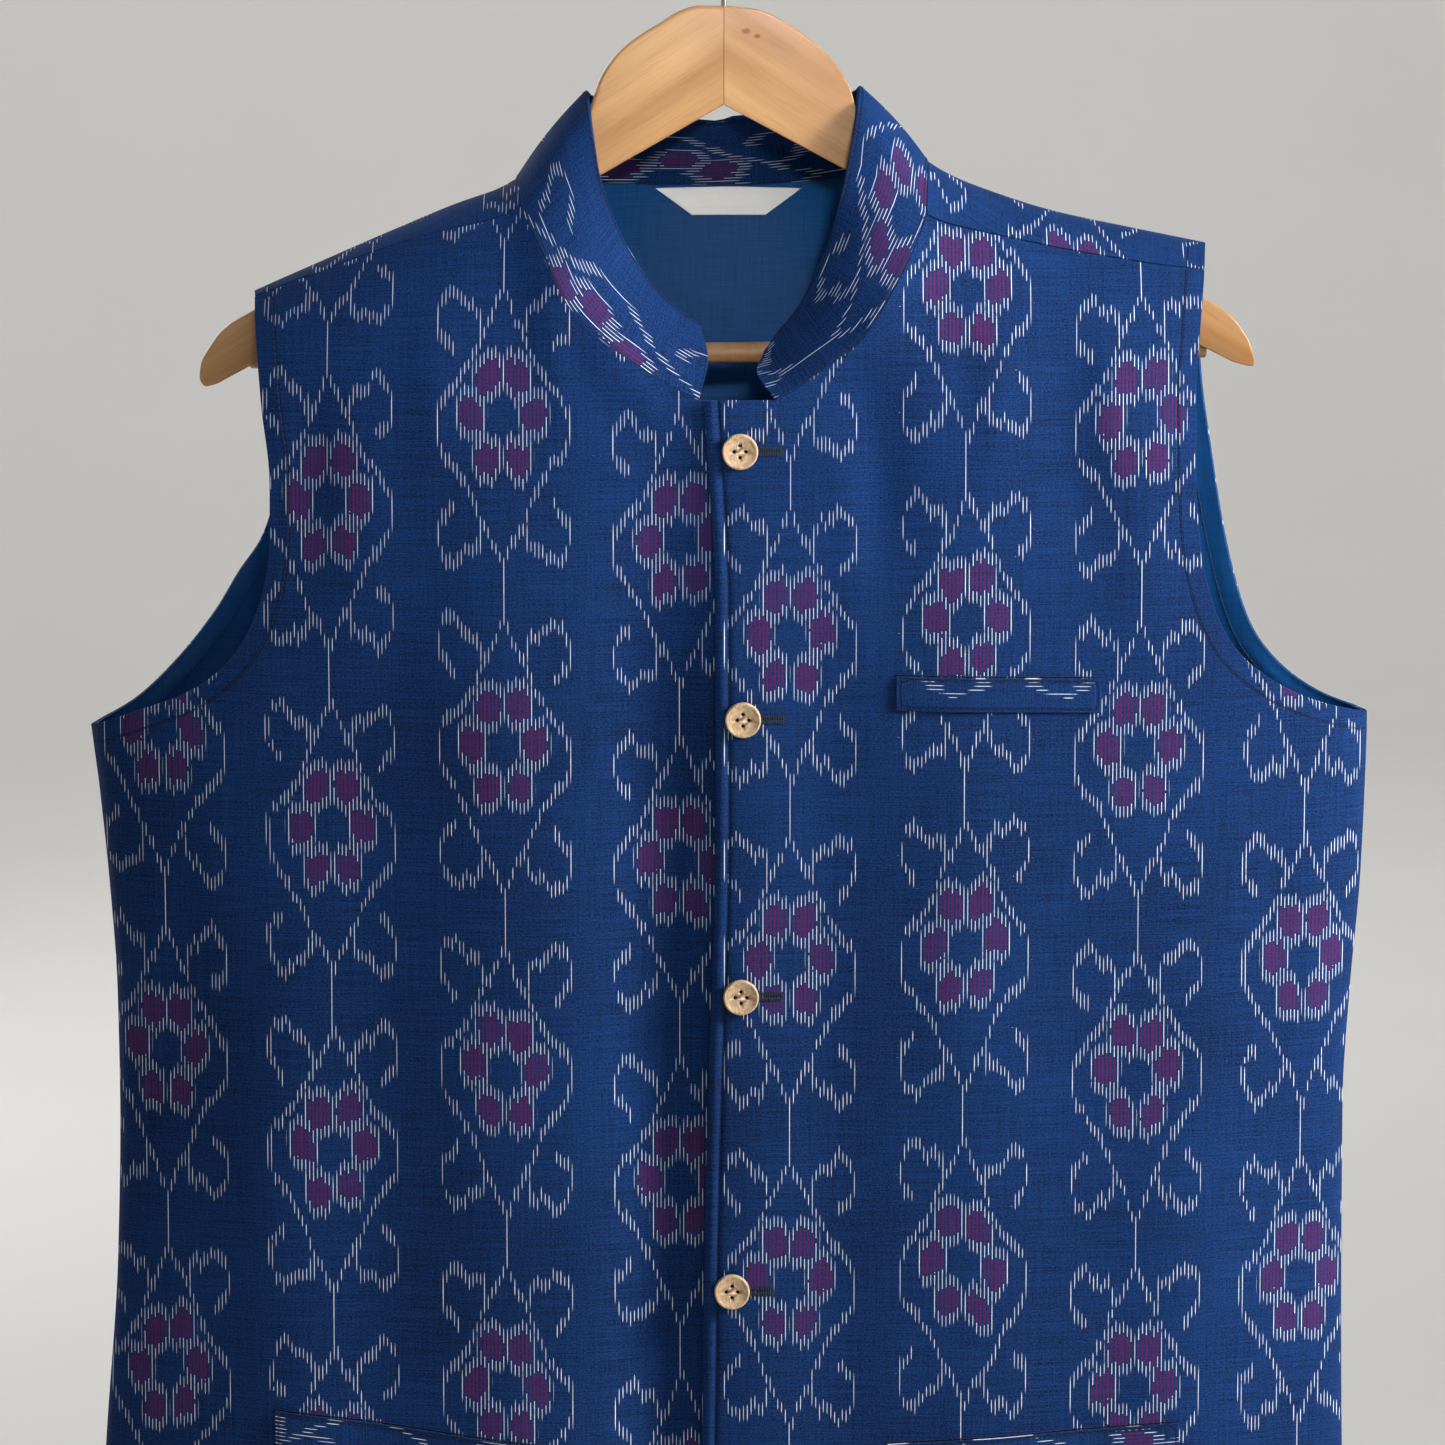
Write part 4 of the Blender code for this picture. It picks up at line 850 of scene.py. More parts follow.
class Net:
    """Short names for making a material's nodes."""

    def __init__(self, name):
        self.material = bpy.data.materials.new(name)
        self.material.use_nodes = True
        self.tree = self.material.node_tree
        self.tree.nodes.clear()
        self.shader = self.node("BsdfPrincipled", {})
        output = self.node("OutputMaterial", {})
        self.tree.links.new(self.shader.outputs[0], output.inputs[0])

    def node(self, kind, inputs, **settings):
        made = self.tree.nodes.new("ShaderNode" + kind)
        for name, value in settings.items():
            setattr(made, name, value)
        for name, value in inputs.items():
            self.feed(made.inputs[name], value)
        return made

    def feed(self, socket, value):
        if isinstance(value, Value):
            self.tree.links.new(value.socket, socket)
        else:
            socket.default_value = value

    def value(self, kind, inputs, output=0, **settings):
        """One output of a new node."""
        return Value(self, self.node(kind, inputs, **settings).outputs[output])

    def parts(self, kind, whole):
        """The parts of a vector or a colour."""
        return [Value(self, socket) for socket in self.node(kind, {0: whole}).outputs]

    def set(self, **values):
        """Sockets of the shader, by their names with _ for a space."""
        for name, value in values.items():
            self.feed(self.shader.inputs[name.replace("_", " ")], value)

    def math(self, operation, *values, clamp=False):
        return self.value("Math", dict(enumerate(values)), operation=operation, use_clamp=clamp)

    def map(self, name):
        """The two coordinates of a UV map."""
        return self.parts("SeparateXYZ", self.value("UVMap", {}, uv_map=name))[:2]

    def object_place(self):
        return self.value("TexCoord", {}, "Object")

    def places(self, scale, turn=0.0):
        """Places on the object in metres, turned about Y and then stretched."""
        turned_place = {"Vector": self.object_place(), "Rotation": (0, turn, 0)}
        return self.value("Mapping", {"Vector": self.value("Mapping", turned_place), "Scale": scale})

    def noise(self, where, scale=1.0, detail=2.0, rough=0.5):
        inputs = {"Vector": where, "Scale": scale, "Detail": detail, "Roughness": rough}
        return self.value("TexNoise", inputs, "Fac")

    def streaks(self, u, v, across_u, across_v, detail=2.0, rough=0.5):
        """Noise over a cloth's coordinates, each with its own scale."""
        return self.noise(self.value("CombineXYZ", {0: u * across_u, 1: v * across_v}), 1.0, detail, rough)

    def line_noise(self, where):
        """Smooth noise along one coordinate, -0.5 to 0.5."""
        inputs = {"W": where, "Scale": 1.0, "Detail": 1.0}
        return self.value("TexNoise", inputs, "Fac", noise_dimensions="1D") - 0.5

    def chances(self, where):
        """Three random values from 0 to 1 for each whole step."""
        colour = self.value("TexWhiteNoise", {"W": where}, "Color", noise_dimensions="1D")
        return self.parts("SeparateColor", colour)

    def span(self, value, low, high, to_low=0.0, to_high=1.0, smooth=False):
        names = ("Value", "From Min", "From Max", "To Min", "To Max")
        inputs = dict(zip(names, (value, low, high, to_low, to_high)))
        return self.value("MapRange", inputs, interpolation_type="SMOOTHSTEP" if smooth else "LINEAR")

    def curve(self, value, xs, ys):
        """A charted line: value from 0 to CHART_WIDE gives 0 to CHART_HIGH."""
        made = self.node("FloatCurve", {"Value": value / CHART_WIDE})
        made.mapping.extend = "HORIZONTAL"
        points = made.mapping.curves[0].points
        spots = [(x / CHART_WIDE, y / CHART_HIGH) for x, y in zip(xs, ys)]
        points[0].location = spots[0]
        points[1].location = spots[-1]
        for spot in spots[1:-1]:
            points.new(*spot)
        for point in points:
            point.handle_type = "VECTOR"
        made.mapping.update()
        return Value(self, made.outputs[0]) * CHART_HIGH

    def mix(self, share, first, second):
        first, second = ((*look, 1.0) if isinstance(look, tuple) else look for look in (first, second))
        return self.value("Mix", {0: share, 6: first, 7: second}, 2, data_type="RGBA")

    def bump(self, height, strength, distance):
        inputs = {"Height": height, "Strength": strength, "Distance": distance}
        self.set(Normal=self.value("Bump", inputs))


def dash(b, place, half):
    """How far inside a dash a spot lies: 1 at its middle, 0 at its ends."""
    away = (b - place) / half.larger(LEAST_DASH)
    return 1.0 - away * away


def petal(a, b, middle, half):
    """1 at the middle of a petal's rounded shape, 0 on its edge."""
    across_a, across_b = (abs((at - centre) / size) for at, centre, size in zip((a, b), middle, half))
    return 1.0 - (across_a**PETAL_ROUND + across_b**PETAL_ROUND)


def flower_phase(net, column):
    """Where the flower of this column stands, as a share of the repeat."""
    ramp = net.node("ValToRGB", {0: (column + 0.5) / len(PHASES)})
    ramp.color_ramp.interpolation = "CONSTANT"
    spots = ramp.color_ramp.elements
    for k, phase in enumerate(PHASES):
        spot = spots[k] if k < 2 else spots.new(k / len(PHASES))
        spot.position = k / len(PHASES)
        spot.color = (phase, phase, phase, 1)
    return Value(net, ramp.outputs[0])


def ikat_masks(net, u, v):
    """White dashes and purple petals for cloth coordinates in millimetres, thread by thread."""
    step = u / THREAD
    thread = step.floor()
    beside = abs(step - thread - 0.5)
    middle = (thread + 0.5) * THREAD
    column = (middle / COLUMN + 0.5).floor()
    a = abs(middle - column * COLUMN)
    rise = (v + FLOWER_UP) / REPEAT - flower_phase(net, column)
    row = (rise + 0.5).floor()
    b = (rise - row) * REPEAT + net.line_noise(row * SLIP_ROW + u / SLIP_WIDE) * SLIP
    # Each thread has its own chances above and below a flower's middle
    chance = net.chances(thread + ((b > 0.0) * 0.31 + row * 0.17))
    longer = chance[1] * 0.6 + 0.70
    fades = chance[2] * 0.35 + 0.65
    b = b + (chance[0] - 0.5) * JITTER
    up = abs(b)
    white = []
    for line in (OGEE, LOBE, HOOK):
        place, half = (net.curve(a, line["across"], line[name]) for name in ("up", "half"))
        white.append(dash(up, place, half * longer))
    white.append((a < THREAD / 2) * (up > STEM_FROM))
    b = b - FLOWER_UP
    rims, hearts = [], []
    for middle_a, middle_b, wide, tall in zip(*PETALS.values()):
        rims.append(petal(a, b, (middle_a, middle_b), (wide + PETAL_RIM[0], tall + PETAL_RIM[1])))
        hearts.append(petal(a, b, (middle_a, middle_b), (wide, tall)))
    heart = reduce(Value.larger, hearts)
    white.append(reduce(Value.larger, rims) * 2.5 * (heart < RIM_INSIDE))
    wide = reduce(Value.larger, white).steep(1.2) ** DASH_TAPER * DASH_WIDE - DASH_THIN
    mask = (wide - beside).steep(DASH_EDGE) * fades
    stripe = (STRIPE_HALF - beside).steep(STRIPE_EDGE) * 0.72 + 0.14
    return mask, heart.steep(2.2) * (stripe * (chance[1] * 0.35 + 0.75))


def ikat_cloth(name):
    """Handwoven indigo cotton with warp ikat in white and purple, with painted shade in its stitching
    grooves and in broad patches for soft folds.
    """
    net = Net(name)
    u, v = (value * 1000.0 for value in net.map("cloth"))
    mask, purple = ikat_masks(net, u, v)
    specks = net.streaks(u, v, 1.0, 1.5, 3.0, 0.85)
    weft = net.streaks(u, v, 0.035, 1.7)
    warp = net.streaks(u, v, 1.3, 0.03)
    # Painted shade: broad lighter and darker patches that stand in for the shading of soft folds
    patch = net.streaks(u, v, 0.012, 0.012)
    tone = weft * 0.24 + warp * 0.12 + specks * 0.64 + patch * 0.10
    colour = net.mix(net.span(tone, 0.46, 0.64), INDIGO_DARK, INDIGO_LIGHT)
    colour = net.mix(purple * 0.95, colour, PURPLE)
    shade = net.math("MULTIPLY_ADD", specks, 0.5, 0.72, clamp=True)
    colour = net.mix(mask * shade, colour, UNDYED)
    # Painted shade: along the stitching lines the cloth is darkened toward the dark indigo as the shade in
    # their grooves; the same mask also sinks them by bump.
    groove_and_shade_masks = []
    for distance, place in zip(net.map("seam"), (ARM_STITCH, EDGE_STITCH)):
        groove_and_shade_masks.append(net.span(abs(distance - place), 0.0, GROOVE_HALF, 1.0, 0.0, smooth=True))
    groove = reduce(Value.larger, groove_and_shade_masks)
    colour = net.mix(groove * 0.45, colour, INDIGO_DARK)
    net.set(Base_Color=colour, Roughness=0.82, Sheen_Weight=0.05, Sheen_Roughness=0.45)
    net.set(Sheen_Tint=(0.15, 0.45, 1.0, 1.0), Specular_IOR_Level=0.14)
    turns = 2 * math.pi / WEAVE
    weave = (u * turns).sine() * (v * turns).sine()
    net.bump(weave * 0.25 + specks * 0.9 - groove * 1.6, 0.55, 0.00035)
    return net.material


def lining_cloth(name):
    """Plain blue lining, fine and slightly smooth."""
    net = Net(name)
    u, v = (value * 1000.0 for value in net.map("cloth"))
    tone = net.streaks(u, v, 0.05, 2.0) * 0.5 + net.streaks(u, v, 2.0, 0.05) * 0.5
    creases = net.streaks(u, v, 0.05, 0.02, 3.0)
    net.set(Base_Color=net.mix(net.span(tone, 0.35, 0.65), LINING_DARK, LINING_LIGHT), Roughness=0.55)
    net.set(Sheen_Weight=0.03, Sheen_Tint=(0.3, 0.6, 1.0, 1.0), Specular_IOR_Level=0.2)
    net.bump(tone * 0.1 + creases * 3.0, 0.5, 0.0004)
    return net.material


def times(colour, share):
    return tuple(part * share for part in colour)


def thread_look(name, colour):
    net = Net(name)
    twist = net.noise(net.places((1, 1, 1)), 2400.0)
    net.set(Base_Color=net.mix(twist, times(colour, 0.5), times(colour, 1.4)), Roughness=0.7)
    net.bump(twist, 0.4, 0.0001)
    return net.material


def wood_look(name, turn=0.0, dark=WOOD_DARK, light=WOOD_LIGHT):
    """Varnished wood with its grain along one direction, and two small knots at the crown."""
    net = Net(name)
    rings = net.noise(net.places((4.0, 60.0, 60.0), turn), 1.0, 3.0, 0.55)
    fibres = net.noise(net.places((60.0, 1600.0, 1600.0), turn))
    clouds = net.noise(net.places((14.0, 14.0, 14.0)))
    colour = net.mix(net.span(rings * 0.65 + clouds * 0.35, 0.34, 0.60), dark, light)
    colour = net.mix(net.span(fibres, 0.50, 0.72) * 0.22, colour, times(dark, 0.55))
    x, _, z = net.parts("SeparateXYZ", net.object_place())
    for knot_x, knot_z, size in KNOTS:
        beside, above = (x - knot_x) / (size * KNOT_WIDE), (z - knot_z) / size
        away = (beside * beside + above * above).root() + (rings - 0.5) * 0.8
        colour = net.mix(net.span(away, 0.9, 3.6, 0.40, 0.0, smooth=True), colour, KNOT_HALO)
        colour = net.mix(net.span(away, 0.4, 1.0, 0.92, 0.0, smooth=True), colour, KNOT_CORE)
    net.set(Base_Color=colour, Roughness=0.42, Coat_Weight=0.35, Coat_Roughness=0.18)
    net.set(Specular_IOR_Level=0.4)
    net.bump(rings * 0.6 + fibres * 0.4, 0.15, 0.0004)
    return net.material


def shell_look(name):
    """Sanded coconut shell: tan, with short darker fibres."""
    net = Net(name)
    fibres = net.noise(net.places((500.0, 500.0, 1500.0), 0.5), 1.0, 4.0, 0.7)
    clouds = net.noise(net.places((160.0, 160.0, 160.0)))
    tone = net.span(fibres * 0.7 + clouds * 0.3, 0.36, 0.62)
    net.set(Base_Color=net.mix(tone, SHELL_DARK, SHELL_LIGHT), Roughness=0.5)
    net.bump(fibres, 0.3, 0.0002)
    return net.material


def label_look(name):
    """Bare woven label: off-white satin with fine ribs."""
    net = Net(name)
    u, v = net.map("cloth")
    rib = (v * (2 * math.pi / LABEL_RIB)).sine()
    specks = net.streaks(u, v, 1500.0, 3000.0)
    net.set(Base_Color=net.mix(specks, LABEL_DARK, LABEL_LIGHT), Roughness=0.6, Sheen_Weight=0.1)
    net.bump(rib + specks, 0.2, 0.0001)
    return net.material


def steel_look(name):
    net = Net(name)
    marks = net.noise(net.places((900.0, 900.0, 90.0)))
    net.set(Base_Color=CHROME, Metallic=1.0, Roughness=net.span(marks, 0.3, 0.7, 0.12, 0.26))
    return net.material


def paper_look(name):
    net = Net(name)
    grain = net.noise(net.places((3.0, 3.0, 3.0)))
    net.set(Base_Color=net.mix(grain, PAPER_DARK, PAPER_LIGHT), Roughness=0.9)
    return net.material


def show(name, data):
    """An object of these data, in the scene."""
    made = bpy.data.objects.new(name, data)
    bpy.context.scene.collection.objects.link(made)
    return made


def attach(piece, slot, *nodes):
    """Puts a piece on the body and hides the solids that it stands for; slot is not used."""
    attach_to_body(piece, "root")
    if nodes:
        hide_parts(*nodes)


def cloth(name, patches, looks, node, slot="ikat_cotton"):
    """A thin closed shell from patches of outer points, inner points, cloth map and seam map."""
    outer, inner, *maps = (
        np.concatenate([patch[k].reshape(-1, patch[k].shape[-1]) for patch in patches]) for k in range(4)
    )
    faces, first = [], 0
    for patch in patches:
        rows, columns = patch[0].shape[:2]
        ids = first + np.arange(rows * columns).reshape(rows, columns)
        quads = np.stack([ids[:-1, :-1], ids[:-1, 1:], ids[1:, 1:], ids[1:, :-1]], -1).reshape(-1, 4)
        corners = outer[quads]
        normal = np.cross(corners[:, 2] - corners[:, 0], corners[:, 3] - corners[:, 1])
        away = outer[quads[:, 0]] - inner[quads[:, 0]]
        faces.append(quads if (normal * away).sum() > 0 else quads[:, ::-1])
        first += rows * columns
    faces = np.concatenate(faces)
    tree = KDTree(len(outer))
    for k, place in enumerate(outer):
        tree.insert(place, k)
    tree.balance()
    same = [min(found[1] for found in tree.find_range(place, SAME_POINT)) for place in outer]
    kept, joined = np.unique(same, return_inverse=True)
    count = len(kept)
    welded = joined[faces]
    after, after_source = np.roll(welded, -1, axis=1), np.roll(faces, -1, axis=1)
    rim = ~np.isin(welded * count + after, after * count + welded)
    a, b = welded[rim], after[rim]
    from_a, from_b = faces[rim], after_source[rim]
    every = np.concatenate([welded, welded[:, ::-1] + count, np.stack([b, a, a + count, b + count], -1)])
    source = np.concatenate([faces, faces[:, ::-1], np.stack([from_b, from_a, from_a, from_b], -1)])
    mesh = bpy.data.meshes.new(name)
    mesh.from_pydata(np.concatenate([outer[kept], inner[kept]]).tolist(), [], every.tolist())
    for map_name, values in zip(("cloth", "seam"), maps):
        layer = mesh.uv_layers.new(name=map_name)
        layer.uv.foreach_set("vector", values[source].astype(np.float32).ravel())
    for look in looks:
        mesh.materials.append(look)
    index = np.zeros(len(every), np.int32)
    index[len(welded) : 2 * len(welded)] = len(looks) - 1
    mesh.polygons.foreach_set("material_index", index)
    mesh.shade_smooth()
    mesh.update()
    piece = show(name, mesh)
    bevel = piece.modifiers.new("folded edge", "BEVEL")
    bevel.width = FOLD_ROUND
    bevel.segments = 2
    bevel.limit_method = "ANGLE"
    bevel.angle_limit = math.radians(50)
    bevel.use_clamp_overlap = True
    bevel.harden_normals = True
    attach(piece, slot, node)
    return piece


def front_piece(side):
    grid = front_grid(side)
    reach, z = grid[..., 0], grid[..., 1]
    outer, inner = (front_skin(side, reach, z, -wall)[0] for wall in (0.0, FRONT_WALL))
    cloth_map = np.stack([across(side * reach) + FRONT_SHIFT[side], upward(side, reach, z)], -1)
    arm = distance_to(grid, spaced(ARM_FRONT[side], np.linspace(0, 1, ARM_POINTS)))
    closing = reach - front_edge(side, z) if side == LEFT else np.full(reach.shape, FAR)
    name = "front_" + name_of(side)
    patch = (outer, inner, cloth_map, np.stack([arm, closing], -1))
    piece = cloth(name + "_cloth", [patch], (IKAT, LINING), name)


def arm_creases(away, z):
    """Soft wrinkles of the lining, which run along the armhole and die out inwards."""
    wave = np.sin(2 * math.pi * (away / CREASE_PITCH + CREASE_SLANT * z))
    drift = 0.6 + 0.4 * np.sin(2 * math.pi * z / CREASE_DRIFT)
    fade = ease(away / CREASE_START) * ease((CREASE_BAND - away) / (0.6 * CREASE_BAND))
    return (0.5 + 0.5 * wave) * drift * fade


def back_patches(outside, wall, ripple=0.0):
    """The back's grids, from the ridge down and from the ridge to the shoulder seam."""
    patches = []
    for side in (RIGHT, LEFT):
        for front, grid in ((False, back_grid(side)), (True, yoke_grid(side))):
            reach, z = grid[..., 0], grid[..., 1]
            if front:
                arm = np.linalg.norm(grid - grid[:, -1:], axis=-1)
            else:
                arm = distance_to(grid, spaced(ARM_BACK[side], np.linspace(0, 1, ARM_POINTS)))
            creases = ripple * arm_creases(arm, z) * (0.0 if front else 1.0)
            outer, inner = (skin(side, front, reach, z, -outside - w - creases)[0] for w in (0.0, wall))
            height = upward(side, reach, z, over=front)
            cloth_map = np.stack([across(side * reach) + BACK_SHIFT, height], -1)
            patches.append((outer, inner, cloth_map, np.stack([arm, np.full(arm.shape, FAR)], -1)))
    return patches


def back_pieces():
    piece = cloth("back_cloth", back_patches(0.0, BACK_WALL), (IKAT,), "back")
    patches = back_patches(BACK_WALL + GAP, LINING_WALL, CREASE_RISE)
    piece = cloth("back_lining", patches, (LINING,), "lining_back", "lining")


def collar_piece():
    """The collar's band, whose warp runs along it."""
    faces = []
    for right, left in zip(collar_half(RIGHT), collar_half(LEFT)):
        middle = (right[:, -1:] + left[:, -1:]) / 2
        faces.append(np.concatenate([right[:, :-1], middle, left[:, -2::-1]], axis=1))
    outer, inner = faces
    run = lengths(outer[len(outer) // 2])
    tall = np.linalg.norm(outer[-1] - outer[0], axis=-1)
    share = np.linspace(0, 1, len(outer))[:, None]
    place = (run - COLLAR_LEAN["run"][0]) / np.diff(COLLAR_LEAN["run"])
    middle, slip = (COLLAR_LEAN[k][0] + place * np.diff(COLLAR_LEAN[k]) for k in ("across", "slip"))
    u = COLLAR_SHIFT + share * tall - middle
    v = np.broadcast_to(run - slip, u.shape)
    seam = np.stack([(1 - share) * tall + ARM_STITCH - COLLAR_STITCH, np.full(u.shape, FAR)], -1)
    piece = cloth("collar_cloth", [(outer, inner, np.stack([u, v], -1), seam)], (IKAT,), "collar")
    return outer


def welt_line(start, end, tall, at, down):
    """Reach and height at a share along a welt and a share down it."""
    reach = start[0] + at * (end[0] - start[0]) + 0 * down
    return reach, start[1] + at * (end[1] - start[1]) - down * tall


def welt_piece(name, side, start, end, tall):
    """A pocket's welt, whose warp runs along it, its lines of stitches, and the line of the painted shadow
    over its mouth.
    """
    wide = end[0] - start[0]
    at = np.linspace(0, 1, int(wide / WELT_STEP) + 1)[None, :]
    down = np.linspace(1, 0, WELT_ROWS + 1)[:, None]
    reach, z = welt_line(start, end, tall, at, down)
    puff = WELT_PUFF * np.sin(math.pi * down) * np.ones(reach.shape)
    lifts = (WELT_LIFT + WELT_WALL + puff, WELT_LIFT)
    outer, inner = (front_skin(side, reach, z, lift)[0] for lift in lifts)
    near = np.minimum(np.minimum(at, 1 - at) * wide, np.minimum(down, 1 - down) * tall)
    shift = WELT_SHIFT[name]
    cloth_map = np.stack([shift[0] + down * tall + 0 * at, shift[1] + side * reach], -1)
    seam = np.stack([near + ARM_STITCH - WELT_STITCH, np.full(near.shape, FAR)], -1)
    piece = cloth(name + "_cloth", [(outer, inner, cloth_map, seam)], (IKAT,), name)
    a, b = WELT_STITCH / wide, WELT_STITCH / tall
    run = np.linspace(0, 1, 40)
    inside, below = a + (1 - 2 * a) * run, b + (1 - 2 * b) * run
    flat = 0 * run
    lines = [(inside, b + flat), (inside, 1 - b + flat), (a + flat, below), (1 - a + flat, below)]
    # Just above the mouth: where a dark cord is laid as painted shadow
    lines.append((run, flat - MOUTH_ABOVE / tall))
    *sewn, mouth_shadow = [np.stack(welt_line(start, end, tall, *line), -1) for line in lines]
    return side, sewn, mouth_shadow


def label_piece():
    """The bare label, across the middle of the back under the collar."""
    share = np.linspace(-1, 1, 31)[None, :]
    up = np.linspace(0, 1, 7)[:, None]
    half = LABEL_LOW_HALF + (LABEL_TOP_HALF - LABEL_LOW_HALF) * up
    x = share * half + LABEL_MIDDLE
    z = LABEL_TOP - (1 - up) * LABEL_TALL + 0 * x
    inside = -BACK_WALL - GAP - LINING_WALL
    faces = []
    for lift in (LABEL_LIFT + LABEL_WALL, LABEL_LIFT):
        curl = lift + LABEL_CURL * (1 - up) * share**2
        left, right = (skin(side, False, np.abs(x), z, inside - curl)[0] for side in (LEFT, RIGHT))
        faces.append(np.where((x > 0)[..., None], left, right))
    cloth_map = np.stack([x, z], -1)
    patch = (*faces, cloth_map, np.full(cloth_map.shape, FAR))
    piece = cloth("label_cloth", [patch], (LABEL,), "label", "label_cloth")


def solid(name, points, faces, look, sharp=40):
    mesh = bpy.data.meshes.new(name)
    mesh.from_pydata([tuple(point) for point in points], [], faces)
    smooth(mesh, sharp)
    mesh.materials.append(look)
    return show(name, mesh)


def smooth(mesh, sharp):
    mesh.shade_smooth()
    mesh.set_sharp_from_angle(angle=math.radians(sharp))


def walk(points, outs, spacing):
    """Places, ways ahead and ways out at even steps along a line."""
    run = lengths(points)
    at = np.arange(spacing / 2, run[-1], spacing)
    near = (at, np.minimum(at + WALK_STEP, run[-1]), np.maximum(at - WALK_STEP, 0))
    places, ahead, behind = (spread(points, run, where) for where in near)
    return places, unit(ahead - behind), unit(spread(outs, run, at))


def spread(values, run, at):
    """Values of each axis at places along a line."""
    return np.stack([np.interp(at, run, column) for column in values.T], -1)


def thread_run(places, ways, outs, length, radius, arch):
    """Points and faces of short threads, each a small four-sided arch."""
    points, faces = [], []
    for place, way, out in zip(places, ways, outs):
        beside = unit(np.cross(way, out))
        up = np.cross(beside, way)
        first = len(points)
        for share in (-0.5, -0.25, 0.25, 0.5):
            middle = place + way * length * share + up * arch * (1 - (2 * share) ** 2)
            thick = radius * (1.0 if abs(share) < 0.4 else THREAD_TIP)
            for a, b in ((1, 0), (0, 1), (-1, 0), (0, -1)):
                points.append(middle + beside * thick * a + up * thick * b)
        faces.append(tuple(range(first, first + 4)))
        for low in range(first, first + 12, 4):
            for k in range(4):
                after = (k + 1) % 4
                faces.append((low + after, low + k, low + 4 + k, low + 4 + after))
        faces.append(tuple(range(first + 15, first + 11, -1)))
    return points, faces


def join(parts):
    points, faces = [], []
    for more_points, more_faces in parts:
        count = len(points)
        points += more_points
        faces += [tuple(k + count for k in face) for face in more_faces]
    return points, faces


def on_front(side, line, lift):
    return front_skin(side, *line.T, lift)


def inset(line, distance):
    """A line of reach and height, moved sideways by a distance to its left."""
    run = unit(np.gradient(line, axis=0))
    return line + distance * np.stack([-run[:, 1], run[:, 0]], -1)


def stitch_line(points, outs, length=STITCH_LONG, spacing=STITCH_PITCH, radius=STITCH_RADIUS):
    return thread_run(*walk(points, outs, spacing), length, radius, STITCH_ARCH)


def arm_stitches(side):
    """Lines of stitches round an armhole: on the front, the back and the lining."""
    line = inset(spaced(ARM_FRONT[side], np.linspace(0.03, 0.995, 160)), ARM_STITCH)
    reach, z = inset(spaced(ARM_BACK[side], np.linspace(0.03, 0.99, 160)), ARM_STITCH).T
    inside = BACK_WALL + GAP + LINING_WALL + STITCH_LIFT
    creases = CREASE_RISE * arm_creases(np.full(len(z), ARM_STITCH), z)
    points, out = skin(side, False, reach, z, -inside - creases)
    return [on_front(side, line, STITCH_LIFT), skin(side, False, reach, z, STITCH_LIFT), (points, -out)]


def closing_stitches():
    """Lines of stitches along the closing edge and over the neck's end."""
    z = np.linspace(HEM + 0.004, CLOSING_TOP, 240)
    closing = np.stack([front_edge(LEFT, z) + EDGE_STITCH, z], -1)
    neck = np.array(NECK_STITCH)
    run = lengths(neck)
    neck = spread(neck, run, np.linspace(0, run[-1], 40))
    return [on_front(LEFT, line, STITCH_LIFT) for line in (closing, neck)]


def collar_stitches(outer):
    """Lines of stitches along the collar's lower and upper edges."""
    share = COLLAR_STITCH / np.linalg.norm(outer[1] - outer[0], axis=-1).mean()
    lines = []
    for edge, next_row in ((0, 1), (-1, -2)):
        rise = outer[next_row] - outer[edge]
        line = outer[edge] + share * rise
        out = unit(np.cross(np.gradient(line, axis=0), rise))
        out *= np.sign((out * line * (1.0, 1.0, 0.0)).sum(-1, keepdims=True))
        lines.append((line[3:-3] + out[3:-3] * STITCH_LIFT, out[3:-3]))
    return lines


def sewing_and_mouth_shadows(welts, collar_outer):
    """All topstitching: armholes, closing edge, neck, welts and collar, and a dark cord over each pocket's
    mouth as painted shadow.
    """
    lines = arm_stitches(LEFT) + arm_stitches(RIGHT) + closing_stitches()
    mouth_shadows = []
    for side, sewn, mouth_shadow in welts:
        lines += [on_front(side, line, WELT_LIFT + WELT_WALL + 0.5 * WELT_PUFF) for line in sewn]
        mouth_shadows.append(on_front(side, mouth_shadow, STITCH_LIFT))
    lines += collar_stitches(collar_outer)
    parts = [stitch_line(*line) for line in lines]
    # Painted shadow: close dark threads along each pocket's mouth
    parts += [stitch_line(*line, *MOUTH_SHADOW_CORD) for line in mouth_shadows]
    attach(solid("sewing_and_mouth_shadows", *join(parts), NAVY), "ikat_cotton")


def buttonhole(x, height):
    """A horizontal buttonhole sewn with close dark thread, which shows beside its button."""
    parts = []
    at = np.arange(HOLE_FROM, HOLE_TO, HOLE_STEP)
    for row in (-1, 1):
        line = np.stack([x + at, np.full(len(at), height + row * HOLE_SPREAD)], -1)
        points, out = on_front(LEFT, line, HOLE_LIFT)
        ways = np.tile([0.12 * row, 0.0, 1.0], (len(at), 1))
        parts.append(thread_run(points, ways, out, 0.0021, 0.00027, HOLE_LIFT))
    at = np.arange(-HOLE_SPREAD, HOLE_SPREAD, HOLE_STEP)
    line = np.stack([np.full(len(at), x + HOLE_TO), height + at], -1)
    points, out = on_front(LEFT, line, HOLE_LIFT)
    ways = np.tile([1.0, 0.0, 0.0], (len(at), 1))
    parts.append(thread_run(points, ways, out, 0.0022, 0.00026, HOLE_LIFT))
    return join(parts)


def buttonholes():
    points, faces = join(buttonhole(x, height) for x, height in zip(*BUTTONS.values()))
    attach(solid("buttonholes", points, faces, DARK_THREAD), "ikat_cotton")


